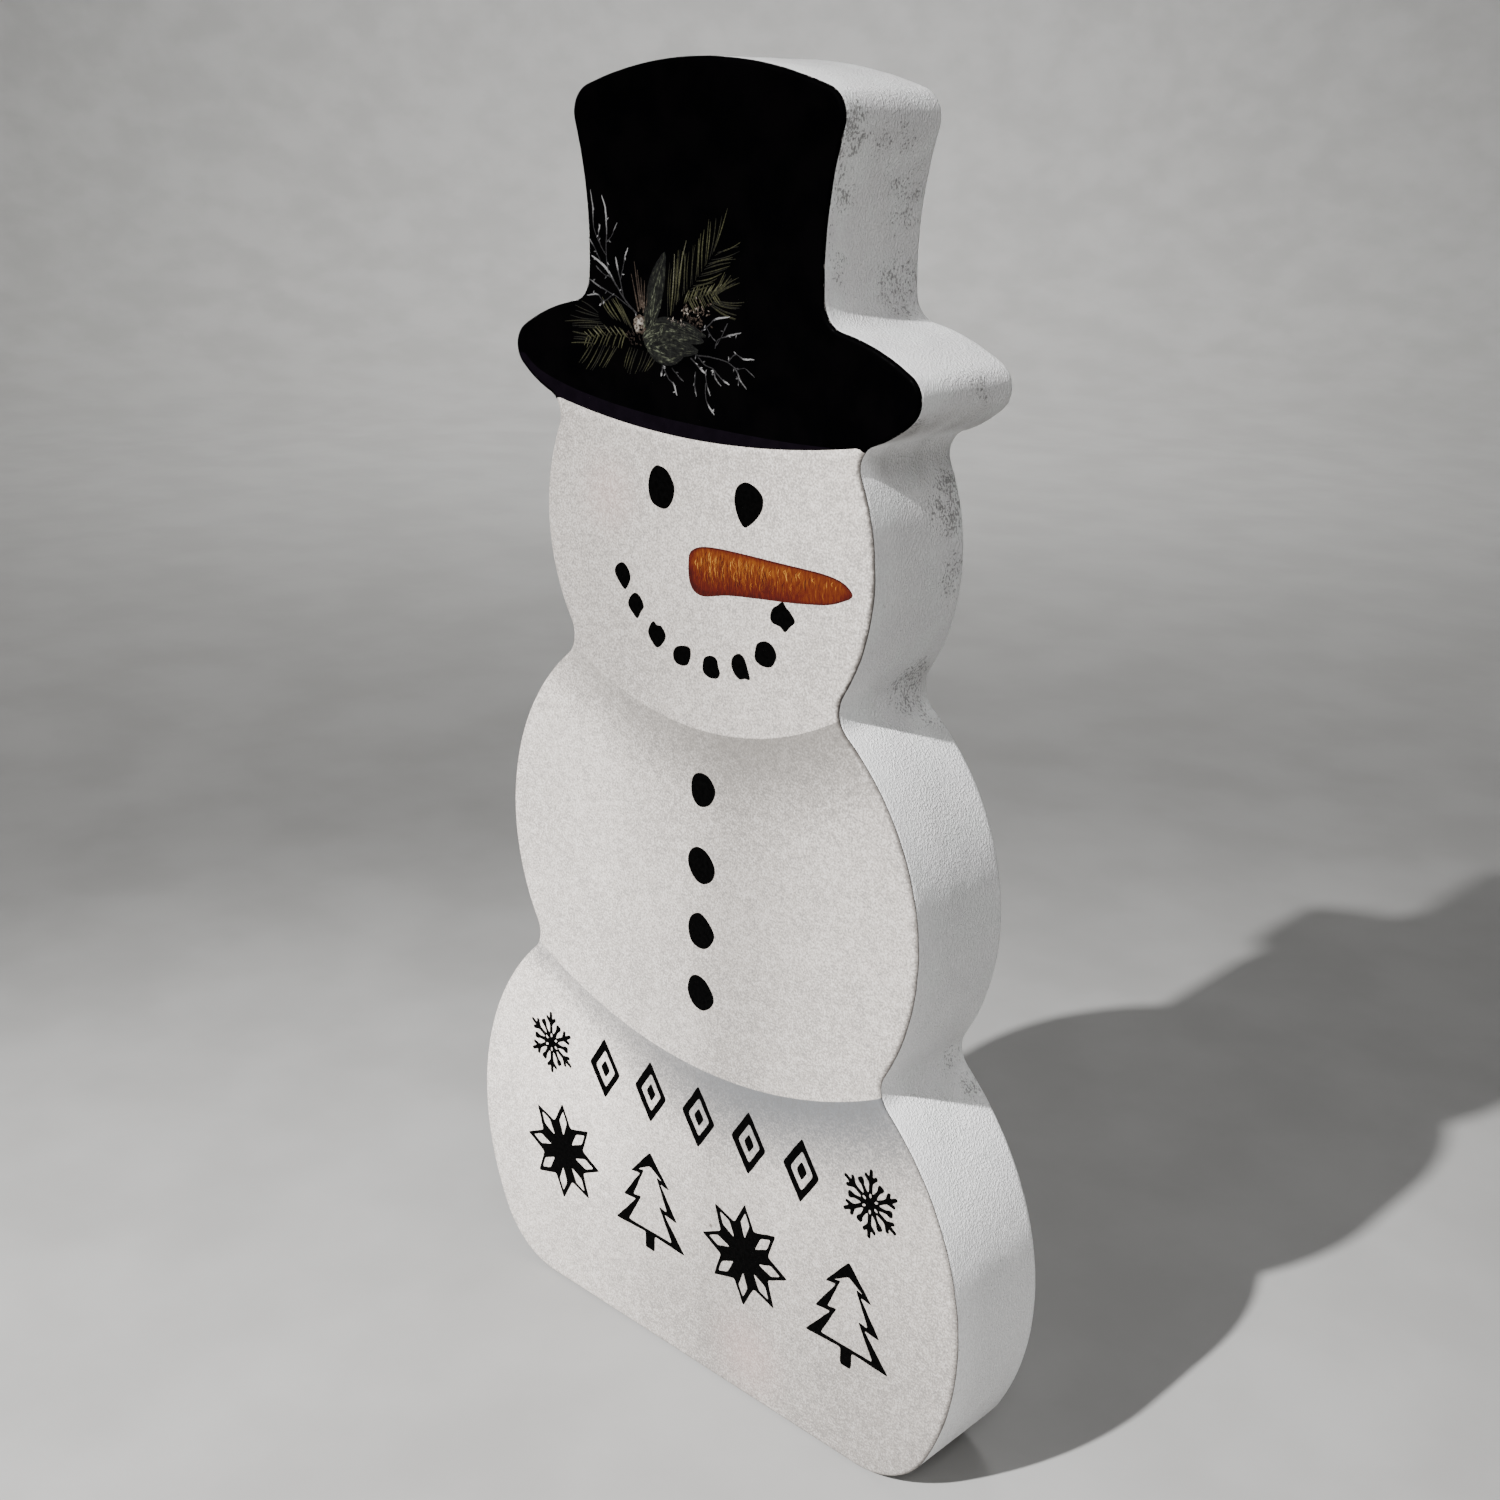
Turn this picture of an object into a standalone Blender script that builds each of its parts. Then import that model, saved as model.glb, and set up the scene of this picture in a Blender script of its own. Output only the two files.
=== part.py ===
"""Standing wooden snowman, 330 mm tall: one thick board sawn to the outline of a snowman in a top
hat, rounded at its edges and painted white, with a printed paper face glued over its whole front.

The board is one solid. The face is modelled by its inks: the snow and the hat areas lie side by side
at sheet level, and every inked motif (eyes, nose, coals, buttons, sprig, ornaments) is a thin solid
of its own just in front of them.

Frame: metres, +Z up, +X to the viewer's right, the face towards -Y, the origin under the middle of
the base.
"""

import math
from collections import namedtuple

import bmesh
import bpy
from mathutils import Vector
from mathutils.geometry import tessellate_polygon

MM = 0.001

# Overall size. The other sizes below are in millimetres and become metres where meshes are made.
HEIGHT = 330.0
DEPTH = 32.0
ARRIS_RADIUS = 1.0
SHEET_THICKNESS = 0.3
INK_THICKNESS = 0.3
CLEARANCE = 0.3
SHEET_INSET = 0.5
CHORD_ERROR = 0.03

# Depths of the layers, from the ink's front face back to the board's rear face.
INK_FRONT = -DEPTH / 2
INK_BACK = INK_FRONT + INK_THICKNESS
SHEET_FRONT = INK_BACK + CLEARANCE
SHEET_BACK = SHEET_FRONT + SHEET_THICKNESS
BOARD_FRONT = SHEET_BACK + CLEARANCE
BOARD_BACK = DEPTH / 2

# The right half of the outline runs along these circles, from the top of the crown to the base.
# wood is +1 where the wood is inside the circle and -1 where it is outside.
Lobe = namedtuple("Lobe", "x z radius wood")
CROWN_WAIST_HALF_WIDTH = 36.5
CROWN_TOP = Lobe(0.0, HEIGHT - 120.0, 120.0, 1)
CROWN_SIDE = Lobe(CROWN_WAIST_HALF_WIDTH + 88.0, 288.5, 88.0, -1)
BRIM_UPPER = Lobe(32.0, 220.5, 56.5, 1)
BRIM_LOWER = Lobe(41.5, 282.5, 30.5, 1)
HEAD = Lobe(2.0, 225.0, 51.0, 1)
TORSO = Lobe(8.0, 141.0, 61.5, 1)
BASE = Lobe(11.5, 47.0, 75.0, 1)
LOBES = (CROWN_TOP, CROWN_SIDE, BRIM_UPPER, BRIM_LOWER, HEAD, TORSO, BASE)

# Where two lobes meet: the radius that eases them, +1 for an outside corner and -1 for a notch, and
# roughly where the corner is, which tells it from the circles' other crossing.
Corner = namedtuple("Corner", "radius wood x z")
CORNERS = (
    Corner(6.5, 1, 44.0, 319.0),
    Corner(6.5, -1, 41.0, 275.0),
    Corner(6.0, 1, 66.0, 262.0),
    Corner(5.5, -1, 51.0, 248.0),
    Corner(7.0, -1, 47.0, 190.0),
    Corner(7.0, -1, 63.0, 104.0),
)
BASE_CORNER_RADIUS = 23.5

# Edges inside the printed face: each is an arc that sags below its two ends on the outline.
Sag = namedtuple("Sag", "half_width ends_z lowest_z")
BRIM_EDGE = Sag(51.6, 253.7, 248.5)
CHIN_EDGE = Sag(43.0, 191.5, 179.9)
BELLY_EDGE = Sag(60.0, 104.5, 89.5)
SHADE_WIDTH = 5.0
BRIM_SHADE_LEFT_X = -56.0
BRIM_SHADE_RIGHT_X = 36.0
BRIM_SHADE_WIDTH = 3.6

# Inked motifs: centre x, centre z, width, height, and the turn that makes each pebble its own.
Pebble = namedtuple("Pebble", "x z width height turn")
EYES = {"eye_left": Pebble(-12.1, 236.0, 8.8, 10.0, 0.4), "eye_right": Pebble(16.4, 236.0, 8.8, 10.2, 2.1)}
MOUTH_COALS = (
    Pebble(-25.5, 212.6, 5.5, 6.5, 0.3),
    Pebble(-20.6, 206.0, 5.5, 6.2, 1.6),
    Pebble(-13.3, 200.3, 6.1, 6.2, 2.9),
    Pebble(-4.8, 197.1, 5.8, 5.2, 4.0),
    Pebble(5.0, 196.4, 5.8, 5.4, 5.1),
    Pebble(14.4, 198.2, 6.0, 6.0, 0.8),
    Pebble(22.4, 203.0, 6.6, 6.0, 2.2),
    Pebble(27.2, 212.3, 7.0, 5.6, 3.5),
)
COAT_BUTTONS = (
    Pebble(2.6, 164.6, 8.2, 8.6, 0.9),
    Pebble(2.3, 145.2, 9.0, 9.3, 2.4),
    Pebble(2.3, 127.8, 9.0, 9.2, 3.3),
    Pebble(2.3, 111.0, 9.0, 9.2, 4.6),
)

CARROT_BLUNT_X = -2.8
CARROT_TIP_X = 47.6
CARROT_TIP_Z = 221.6
CARROT_BLUNT_Z = 218.8
CARROT_BLUNT_HALF = 6.0

SNOWFLAKE_ARM = 9.4
SNOWFLAKE_WIDENING = 1.12
SNOWFLAKES = {"snowflake_left": (-56.0, 75.0), "snowflake_right": (59.2, 76.2)}
STROKE = 1.1

# A row of small diamonds over a row of stars and pine trees, in the place of a printed greeting.
SMALL_ROW_Z = 75.5
SMALL_ROW_X = (-34.0, -16.2, 1.6, 19.4, 37.2)
DIAMOND_HALF_WIDTH = 6.0
DIAMOND_HALF_HEIGHT = 9.0
LARGE_ROW_Z = 42.3
STAR_X = (-52.0, 18.5)
TREE_X = (-16.5, 53.5)
STAR_TIP_RADIUS = 15.2
TREE_HEIGHT = 30.0
TREE_TIER_HALF_WIDTHS = (7.5, 10.5, 13.5)

# The sprig on the hat: start and end of each stem, its bend, and its side shoots.
Spray = namedtuple("Spray", "start end bend shoots reach spread width")
SPRAYS = {
    "pine_branch_upper": Spray((-9.5, 277.5), (9.5, 298.0), 2.0, 9, 7.0, 0.70, 0.7),
    "pine_branch_right": Spray((-4.0, 275.0), (14.0, 279.5), 1.5, 6, 4.6, 0.65, 0.7),
    "pine_branch_left": Spray((-22.0, 269.0), (-43.0, 266.0), -1.5, 8, 6.0, 0.70, 0.7),
    "frosted_twig_left": Spray((-20.5, 276.5), (-32.5, 297.5), 2.0, 4, 7.0, 0.62, 0.7),
    "frosted_twig_right": Spray((0.5, 266.5), (17.5, 264.5), -1.5, 4, 6.0, 0.80, 0.7),
}
Leaf = namedtuple("Leaf", "base tip half_width")
LEAVES = {
    "sage_leaf_upper": Leaf((-15.2, 274.5), (-11.5, 289.0), 2.4),
    "sage_leaf_centre": Leaf((-16.0, 270.5), (-2.0, 269.0), 3.2),
    "sage_leaf_lower": Leaf((-18.5, 267.5), (-9.0, 259.5), 2.2),
}
CREAM_BUD = Pebble(-18.9, 272.6, 4.4, 4.4, 0.0)


def along_arc(centre, radius, start, end):
    """Points of the shorter arc from start up to, but not including, end."""
    first = math.atan2(start[1] - centre[1], start[0] - centre[0])
    last = math.atan2(end[1] - centre[1], end[0] - centre[0])
    turn = (last - first + math.pi) % (2 * math.pi) - math.pi
    largest_step = math.sqrt(8 * CHORD_ERROR / radius)
    steps = max(2, math.ceil(abs(turn) / largest_step))
    angles = [first + turn * i / steps for i in range(steps)]
    return [(centre[0] + radius * math.cos(a), centre[1] + radius * math.sin(a)) for a in angles]


def circle_crossing(one, one_radius, two, two_radius, near):
    """The crossing of two circles that is nearer to the point near."""
    gap = math.dist(one, two)
    along = (one_radius**2 - two_radius**2 + gap**2) / (2 * gap)
    aside = math.sqrt(one_radius**2 - along**2)
    ux, uz = (two[0] - one[0]) / gap, (two[1] - one[1]) / gap
    base = (one[0] + ux * along, one[1] + uz * along)
    both = [(base[0] - uz * s * aside, base[1] + ux * s * aside) for s in (1, -1)]
    return min(both, key=lambda point: math.dist(point, near))


def touch_point(centre, lobe, radius):
    """Where a circle about centre touches the lobe of the given radius."""
    reach = math.dist(centre, (lobe.x, lobe.z))
    dx, dz = (centre[0] - lobe.x) / reach, (centre[1] - lobe.z) / reach
    return (lobe.x + dx * radius, lobe.z + dz * radius)


def half_outline(inset=0.0):
    """Right half of the outline, from the crown's middle down to the base's middle."""
    radii = [lobe.radius - lobe.wood * inset for lobe in LOBES]
    start = (0.0, HEIGHT - inset)
    points = []
    for i, corner in enumerate(CORNERS):
        radius = corner.radius - corner.wood * inset
        one, two = LOBES[i], LOBES[i + 1]
        reach = [radii[k] - LOBES[k].wood * corner.wood * radius for k in (i, i + 1)]
        near = (corner.x, corner.z)
        centre = circle_crossing((one.x, one.z), reach[0], (two.x, two.z), reach[1], near)
        leave, join = touch_point(centre, one, radii[i]), touch_point(centre, two, radii[i + 1])
        points += along_arc((one.x, one.z), radii[i], start, leave)
        points += along_arc(centre, radius, leave, join)
        start = join
    radius = BASE_CORNER_RADIUS - inset
    height = BASE_CORNER_RADIUS
    reach = radii[-1] - radius
    centre = (BASE.x + math.sqrt(reach**2 - (height - BASE.z) ** 2), height)
    leave = touch_point(centre, BASE, radii[-1])
    foot = (centre[0], inset)
    points += along_arc((BASE.x, BASE.z), radii[-1], start, leave)
    points += along_arc(centre, radius, leave, foot)
    return points + [foot]


def mirrored(half):
    """The closed outline made by a right half that starts on the centre line, or at a shared edge."""
    left = [(-x, z) for x, z in reversed(half) if x > 1e-6]
    return half + left


def sag_height(sag, x):
    """Height of a sagging edge at x."""
    drop = sag.ends_z - sag.lowest_z
    radius = (sag.half_width**2 + drop**2) / (2 * drop)
    return sag.lowest_z + radius - math.sqrt(radius**2 - x**2)


def sag_points(sag, first_x, last_x, lower=0.0, steps=32):
    """Points along a sagging edge, lowered by the given amount."""
    xs = [first_x + (last_x - first_x) * i / steps for i in range(steps + 1)]
    return [(x, sag_height(sag, x) - lower) for x in xs]


def crescent(sag, first_x, last_x, lower, width, steps=32):
    """A band under a sagging edge, widest in the middle and pointed at both ends."""
    upper = sag_points(sag, first_x, last_x, lower, steps)
    under = []
    for i, (x, z) in enumerate(upper[1:-1], start=1):
        under.append((x, z - width * math.sin(math.pi * i / steps) ** 0.6))
    return upper + under[::-1]


def pebble(spec, steps=28):
    """A rounded, slightly uneven spot."""
    points = []
    for i in range(steps):
        a = 2 * math.pi * i / steps
        uneven = 1 + 0.045 * math.cos(3 * a + spec.turn) + 0.03 * math.cos(5 * a - 2 * spec.turn)
        x = spec.x + spec.width / 2 * uneven * math.cos(a)
        z = spec.z + spec.height / 2 * uneven * math.sin(a)
        points.append((x, z))
    return points


def carrot(steps=24):
    """A blunt-ended tapering root lying on its side, its tip to the right."""
    length = CARROT_TIP_X - CARROT_BLUNT_X
    top, bottom = [], []
    for i in range(1, steps):
        t = (1 - math.cos(math.pi * i / steps)) / 2
        blunt = min(1.0, t / 0.07) ** 0.5
        half = CARROT_BLUNT_HALF * blunt * (1 - 0.62 * t) * (1 - t**7) ** 0.5
        middle = CARROT_BLUNT_Z + (CARROT_TIP_Z - CARROT_BLUNT_Z) * t
        x = CARROT_BLUNT_X + length * t
        top.append((x, middle + half))
        bottom.append((x, middle - half))
    return [(CARROT_BLUNT_X, CARROT_BLUNT_Z)] + bottom + [(CARROT_TIP_X, CARROT_TIP_Z)] + top[::-1]


def turned(points, angle, x=0.0, z=0.0):
    """The points turned about the origin, then moved."""
    c, s = math.cos(angle), math.sin(angle)
    return [(x + px * c - pz * s, z + px * s + pz * c) for px, pz in points]


def snowflake(x, z):
    """Six feathered arms with a short blunt spoke between each two."""
    half = STROKE / 2
    fork, tine = 0.62 * SNOWFLAKE_ARM, 0.84 * SNOWFLAKE_ARM
    spoke = 0.72 * SNOWFLAKE_ARM
    hub = 1.05 * half / math.tan(math.pi / 12)
    arm = [
        (half, hub), (half, fork), (2.1, tine - 0.6), (1.4, tine + 0.2), (half, tine - 0.6),
        (half, SNOWFLAKE_ARM), (-half, SNOWFLAKE_ARM),
        (-half, tine - 0.6), (-1.4, tine + 0.2), (-2.1, tine - 0.6), (-half, fork), (-half, hub),
    ]
    short = [(half, hub), (half * 1.5, spoke), (-half * 1.5, spoke), (-half, hub)]
    points = []
    for i in range(6):
        points += turned(arm, i * math.pi / 3)
        points += turned(short, (i + 0.5) * math.pi / 3)
    return [(x + px * SNOWFLAKE_WIDENING, z + pz) for px, pz in points]


def diamond_ring(x, z):
    """An upright diamond with a diamond window."""
    outer = [(DIAMOND_HALF_WIDTH, 0), (0, DIAMOND_HALF_HEIGHT), (-DIAMOND_HALF_WIDTH, 0), (0, -DIAMOND_HALF_HEIGHT)]
    return [turned(outer, 0, x, z), turned([(px * 0.62, pz * 0.62) for px, pz in outer], 0, x, z)]


def eight_point_star(x, z):
    """A star of eight kite-shaped rays, each with a window."""
    ray = [(0, 2.2), (3.1, 9.6), (0, STAR_TIP_RADIUS), (-3.1, 9.6)]
    outer = []
    for i in range(8):
        outer += turned([(0, STAR_TIP_RADIUS), (3.35, 8.4)], -i * math.pi / 4, x, z)
    centre_z = sum(pz for _, pz in ray) / 4
    window = [(px * 0.52, centre_z + (pz - centre_z) * 0.60) for px, pz in ray]
    return [outer] + [turned(window, i * math.pi / 4, x, z) for i in range(8)]


def pine_tree(x, z):
    """A three-tier tree on a short trunk, with a smaller tree as its window."""
    trunk_half, trunk_height, droop = 1.8, 4.2, 0.6
    foot = z - TREE_HEIGHT / 2
    tier = (TREE_HEIGHT - trunk_height) / len(TREE_TIER_HALF_WIDTHS)

    def right_side(scale, lift, top):
        points = [(0.0, top)]
        for i, half_width in enumerate(TREE_TIER_HALF_WIDTHS):
            low = foot + TREE_HEIGHT - tier * (i + 1) + lift
            points.append((half_width * scale, low))
            points.append((half_width * scale * 0.52, low + droop))
        return points

    tiers = right_side(1.0, 0.0, foot + TREE_HEIGHT)
    trunk = [(trunk_half, foot + trunk_height + droop), (trunk_half, foot)]
    outer = tiers[:-1] + trunk
    window = right_side(0.62, 1.6, foot + TREE_HEIGHT - 4.2)[:-1]
    return [[(x + px, pz) for px, pz in mirrored(loop)] for loop in (outer, window)]


def spray(spec):
    """A bent stem with side shoots on both sides, drawn as one comb-like outline."""
    start, end = Vector(spec.start), Vector(spec.end)
    stem = end - start
    across = Vector((-stem.y, stem.x)).normalized()

    def on_stem(t):
        return start + stem * t + across * spec.bend * 4 * t * (1 - t)

    outlines = []
    for side in (1, -1):
        points = []
        for i in range(spec.shoots):
            t = (i + 0.5) / spec.shoots
            root, ahead = on_stem(t), on_stem(t + 0.02)
            along = (ahead - root).normalized()
            normal = Vector((-along.y, along.x)) * side
            reach = spec.reach * (0.55 + 0.45 * math.sin(math.pi * min(1, 1.25 * t)))
            tip = root + (along * math.cos(spec.spread) + normal * math.sin(spec.spread)) * reach
            edge = root + normal * spec.width / 2
            points += [edge - along * spec.width * 0.7, tip - along * 0.25, tip + along * 0.25]
            points += [edge + along * spec.width * 0.7]
        outlines.append([tuple(point) for point in points])
    near, far = outlines
    return [tuple(on_stem(0.0))] + far + [tuple(on_stem(1.03))] + near[::-1]


def leaf(spec, steps=10):
    """A pointed oval between its base and its tip."""
    base, tip = Vector(spec.base), Vector(spec.tip)
    along = tip - base
    across = Vector((-along.y, along.x)).normalized()
    right, left = [], []
    for i in range(1, steps):
        t = i / steps
        half = spec.half_width * math.sin(math.pi * t**0.85)
        right.append(tuple(base + along * t - across * half))
        left.append(tuple(base + along * t + across * half))
    return [tuple(base)] + right + [tuple(tip)] + left[::-1]


def face_outwards(mesh):
    shape = bmesh.new()
    shape.from_mesh(mesh)
    bmesh.ops.recalc_face_normals(shape, faces=shape.faces)
    shape.to_mesh(mesh)
    shape.free()


def slab(name, loops, front_y, back_y, material):
    """A flat solid between two depths: the first loop is its outline, the others its windows."""
    flat = [point for loop in loops for point in loop]
    vertices = [(x * MM, y * MM, z * MM) for y in (front_y, back_y) for x, z in flat]
    count = len(flat)
    faces = []
    for a, b, c in tessellate_polygon([[Vector((x, z, 0)) for x, z in loop] for loop in loops]):
        faces += [(a, b, c), (c + count, b + count, a + count)]
    first = 0
    for loop in loops:
        for i in range(len(loop)):
            a, b = first + i, first + (i + 1) % len(loop)
            faces.append((b, a, a + count, b + count))
        first += len(loop)
    mesh = bpy.data.meshes.new(name)
    mesh.from_pydata(vertices, [], faces)
    face_outwards(mesh)
    mesh.materials.append(material)
    part = bpy.data.objects.new(name, mesh)
    bpy.context.scene.collection.objects.link(part)
    return part


def finish(name, colour, roughness):
    """A Principled material with the given linear colour."""
    material = bpy.data.materials.new(name)
    material.use_nodes = True
    surface = material.node_tree.nodes["Principled BSDF"]
    surface.inputs["Base Color"].default_value = (*colour, 1.0)
    surface.inputs["Roughness"].default_value = roughness
    surface.inputs["Metallic"].default_value = 0.0
    return material


def materials():
    return {
        "board": finish("white_paint", (0.80, 0.80, 0.80), 0.55),
        "snow": finish("printed_snow", (0.74, 0.72, 0.70), 0.80),
        "black": finish("black_ink", (0.006, 0.006, 0.007), 0.60),
        "plum": finish("plum_black_ink", (0.018, 0.012, 0.020), 0.60),
        "shade": finish("grey_shade_ink", (0.42, 0.42, 0.43), 0.80),
        "carrot": finish("carrot_ink", (0.48, 0.13, 0.02), 0.70),
        "pine": finish("pine_green_ink", (0.10, 0.12, 0.05), 0.70),
        "frost": finish("frost_white_ink", (0.55, 0.55, 0.55), 0.70),
        "sage": finish("sage_leaf_ink", (0.12, 0.14, 0.11), 0.70),
        "cream": finish("cream_bud_ink", (0.50, 0.42, 0.33), 0.70),
    }


def smooth_rounds(part, sharp_from):
    part.data.shade_smooth()
    part.data.set_sharp_from_angle(angle=sharp_from)


def wood_block(paint):
    """The sawn board, with the edges of both faces rounded."""
    board = slab("wood_block", [mirrored(half_outline())], BOARD_FRONT, BOARD_BACK, paint)
    smooth_rounds(board, math.radians(40))
    arris = board.modifiers.new("arris", "BEVEL")
    arris.width = ARRIS_RADIUS * MM
    arris.segments = 3
    arris.limit_method = "ANGLE"
    arris.angle_limit = math.radians(60)
    return board


def printed_areas(ink):
    """The snow and the hat, which meet along the brim's lower edge and cover the board's face."""
    half = half_outline(SHEET_INSET)
    hat_half = [point for point in half if point[1] > BRIM_EDGE.ends_z]
    brim_end = hat_half[-1][0]
    brim_edge = sag_points(BRIM_EDGE, brim_end, -brim_end)[1:-1]
    left = [(-x, z) for x, z in reversed(hat_half) if x > 1e-6]
    slab("hat_print", [hat_half + brim_edge + left], SHEET_FRONT, SHEET_BACK, ink["black"])
    snow_half = [point for point in half if point[1] < BRIM_EDGE.ends_z - 2 * CLEARANCE]
    snow_end = snow_half[0][0]
    snow_top = sag_points(BRIM_EDGE, -snow_end, snow_end, CLEARANCE)[1:-1]
    left = [(-x, z) for x, z in reversed(snow_half) if x > 1e-6]
    slab("snow_print", [snow_half + left + snow_top], SHEET_FRONT, SHEET_BACK, ink["snow"])


def ink_motif(name, loops, material):
    return slab(name, loops, INK_FRONT, INK_BACK, material)


def shades(ink):
    """The shadows drawn under the brim's edge, the chin and the belly."""
    middle = (BRIM_SHADE_LEFT_X + BRIM_SHADE_RIGHT_X) / 2
    half = (BRIM_SHADE_RIGHT_X - BRIM_SHADE_LEFT_X) / 2
    band = []
    for i in range(33):
        x = BRIM_SHADE_LEFT_X + 2 * half * i / 32
        low = sag_height(BRIM_EDGE, min(max(x, -BRIM_EDGE.half_width), BRIM_EDGE.half_width)) + CLEARANCE
        low += max(0.0, -BRIM_EDGE.half_width - x) * 0.62
        band.append((x, low, BRIM_SHADE_WIDTH * math.sqrt(max(0.0, 1 - ((x - middle) / half) ** 2))))
    upper = [(x, low + width) for x, low, width in band[1:-1]]
    lower = [(x, low) for x, low, _ in band]
    ink_motif("brim_shade_print", [lower + upper[::-1]], ink["plum"])
    for name, edge in (("chin_shade_print", CHIN_EDGE), ("belly_shade_print", BELLY_EDGE)):
        reach = edge.half_width - 2.5
        ink_motif(name, [crescent(edge, -reach, reach, 0.0, SHADE_WIDTH)], ink["shade"])


def face(ink):
    for name, spec in EYES.items():
        ink_motif(name, [pebble(spec)], ink["black"])
    ink_motif("carrot_nose", [carrot()], ink["carrot"])
    for i, spec in enumerate(MOUTH_COALS, start=1):
        ink_motif(f"mouth_coal_{i}", [pebble(spec, steps=20)], ink["black"])


def coat(ink):
    for i, spec in enumerate(COAT_BUTTONS, start=1):
        ink_motif(f"coat_button_{i}", [pebble(spec)], ink["black"])


def sprig(ink):
    for name, spec in SPRAYS.items():
        ink_motif(name, [spray(spec)], ink["pine" if name.startswith("pine") else "frost"])
    for name, spec in LEAVES.items():
        ink_motif(name, [leaf(spec)], ink["sage"])
    ink_motif("cream_bud", [pebble(CREAM_BUD)], ink["cream"])


def ornaments(ink):
    for name, (x, z) in SNOWFLAKES.items():
        ink_motif(name, [snowflake(x, z)], ink["black"])
    for i, x in enumerate(SMALL_ROW_X, start=1):
        ink_motif(f"small_diamond_{i}", diamond_ring(x, SMALL_ROW_Z), ink["black"])
    for i, x in enumerate(STAR_X, start=1):
        ink_motif(f"eight_point_star_{i}", eight_point_star(x, LARGE_ROW_Z), ink["black"])
    for i, x in enumerate(TREE_X, start=1):
        ink_motif(f"pine_tree_{i}", pine_tree(x, LARGE_ROW_Z), ink["black"])


def main():
    for leftover in list(bpy.data.objects):
        bpy.data.objects.remove(leftover, do_unlink=True)
    ink = materials()
    wood_block(ink["board"])
    printed_areas(ink)
    shades(ink)
    face(ink)
    coat(ink)
    sprig(ink)
    ornaments(ink)


main()
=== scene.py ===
"""Looks of the standing wooden snowman: a thick white painted board with a printed paper face.

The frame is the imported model's: x to the viewer's right, y from the face to the rear, z up. Measures are
in millimetres, except heights and places across inside the materials, the floor and the lights, which are
in metres.
"""

import random
from collections import namedtuple
from math import atan2, ceil, cos, dist, hypot, pi, radians, sin, sqrt, tau

import bpy
import numpy as np
from mathutils import Matrix, Vector, noise
from mathutils.geometry import delaunay_2d_cdt


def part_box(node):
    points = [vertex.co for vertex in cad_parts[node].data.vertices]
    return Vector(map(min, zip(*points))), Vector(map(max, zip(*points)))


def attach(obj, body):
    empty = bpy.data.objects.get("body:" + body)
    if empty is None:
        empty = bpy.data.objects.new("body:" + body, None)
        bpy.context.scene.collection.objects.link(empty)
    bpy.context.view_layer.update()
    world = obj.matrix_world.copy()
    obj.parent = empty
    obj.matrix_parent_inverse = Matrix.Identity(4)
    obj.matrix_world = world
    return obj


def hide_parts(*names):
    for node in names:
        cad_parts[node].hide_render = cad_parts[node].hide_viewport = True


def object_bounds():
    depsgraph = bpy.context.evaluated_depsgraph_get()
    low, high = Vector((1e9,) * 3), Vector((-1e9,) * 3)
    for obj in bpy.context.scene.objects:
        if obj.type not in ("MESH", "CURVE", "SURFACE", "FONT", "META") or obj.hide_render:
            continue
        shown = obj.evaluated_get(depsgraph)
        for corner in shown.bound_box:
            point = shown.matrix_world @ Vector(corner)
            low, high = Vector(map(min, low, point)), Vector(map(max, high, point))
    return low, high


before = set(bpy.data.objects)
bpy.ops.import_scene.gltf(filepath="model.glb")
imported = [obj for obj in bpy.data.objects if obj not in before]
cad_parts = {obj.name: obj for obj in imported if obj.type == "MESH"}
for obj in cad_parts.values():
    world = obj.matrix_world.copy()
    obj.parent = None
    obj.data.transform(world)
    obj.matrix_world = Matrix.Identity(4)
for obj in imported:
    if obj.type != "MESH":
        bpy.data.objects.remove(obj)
CAD_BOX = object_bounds()

MM = 0.001
HEIGHT = CAD_BOX[1].z / MM
REAR = CAD_BOX[1].y / MM
FOREMOST = CAD_BOX[0].y / MM

# Layers of the face, from the front: ink relief, paper, board.
INK_ROOM = 0.1
PAPER = 0.15
PAPER_FRONT = FOREMOST + INK_ROOM
BOARD_FRONT = PAPER_FRONT + PAPER
ARRIS = 1.2
INK_RISE = 0.03
INK_SINK = 0.04

# Steps of the meshes: along the outline, through the depth and between a sheet's inner points.
OUTLINE_STEP = 0.8
DEPTH_STEP = 0.8
SHEET_GRID = 1.7
# A spacing so wide that a fill gets no inner points, and a length that counts as nothing.
NO_EXTRA = 1000
NEAR_ZERO = 1e-6
# The longest step of an inked edge, and how wide its unevenness is.
INKED_STEP = 0.45
UNEVEN_SIZE = 2.2
# Rows of the bent paper, and steps of the seam between its two areas.
PAPER_ROWS = 6
SEAM_STEPS = 90
# Shares of a grid's spacing: from row to row, and what it leaves free beside the outline.
TRIANGLE_ROW = 0.866
CLEARANCE = 0.6

# How high a mark's edge is against its middle, the angle that makes a crease, and the usual tint.
EDGE_RISE_SHARE = 0.35
CREASE = radians(50)
INK_TINT = 0.2
# How far round the arris each paper bends, and how much its cut strays.
HAT_BEND = radians(66)
SNOW_BEND = radians(70)
RAGGED = radians(5)

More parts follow.
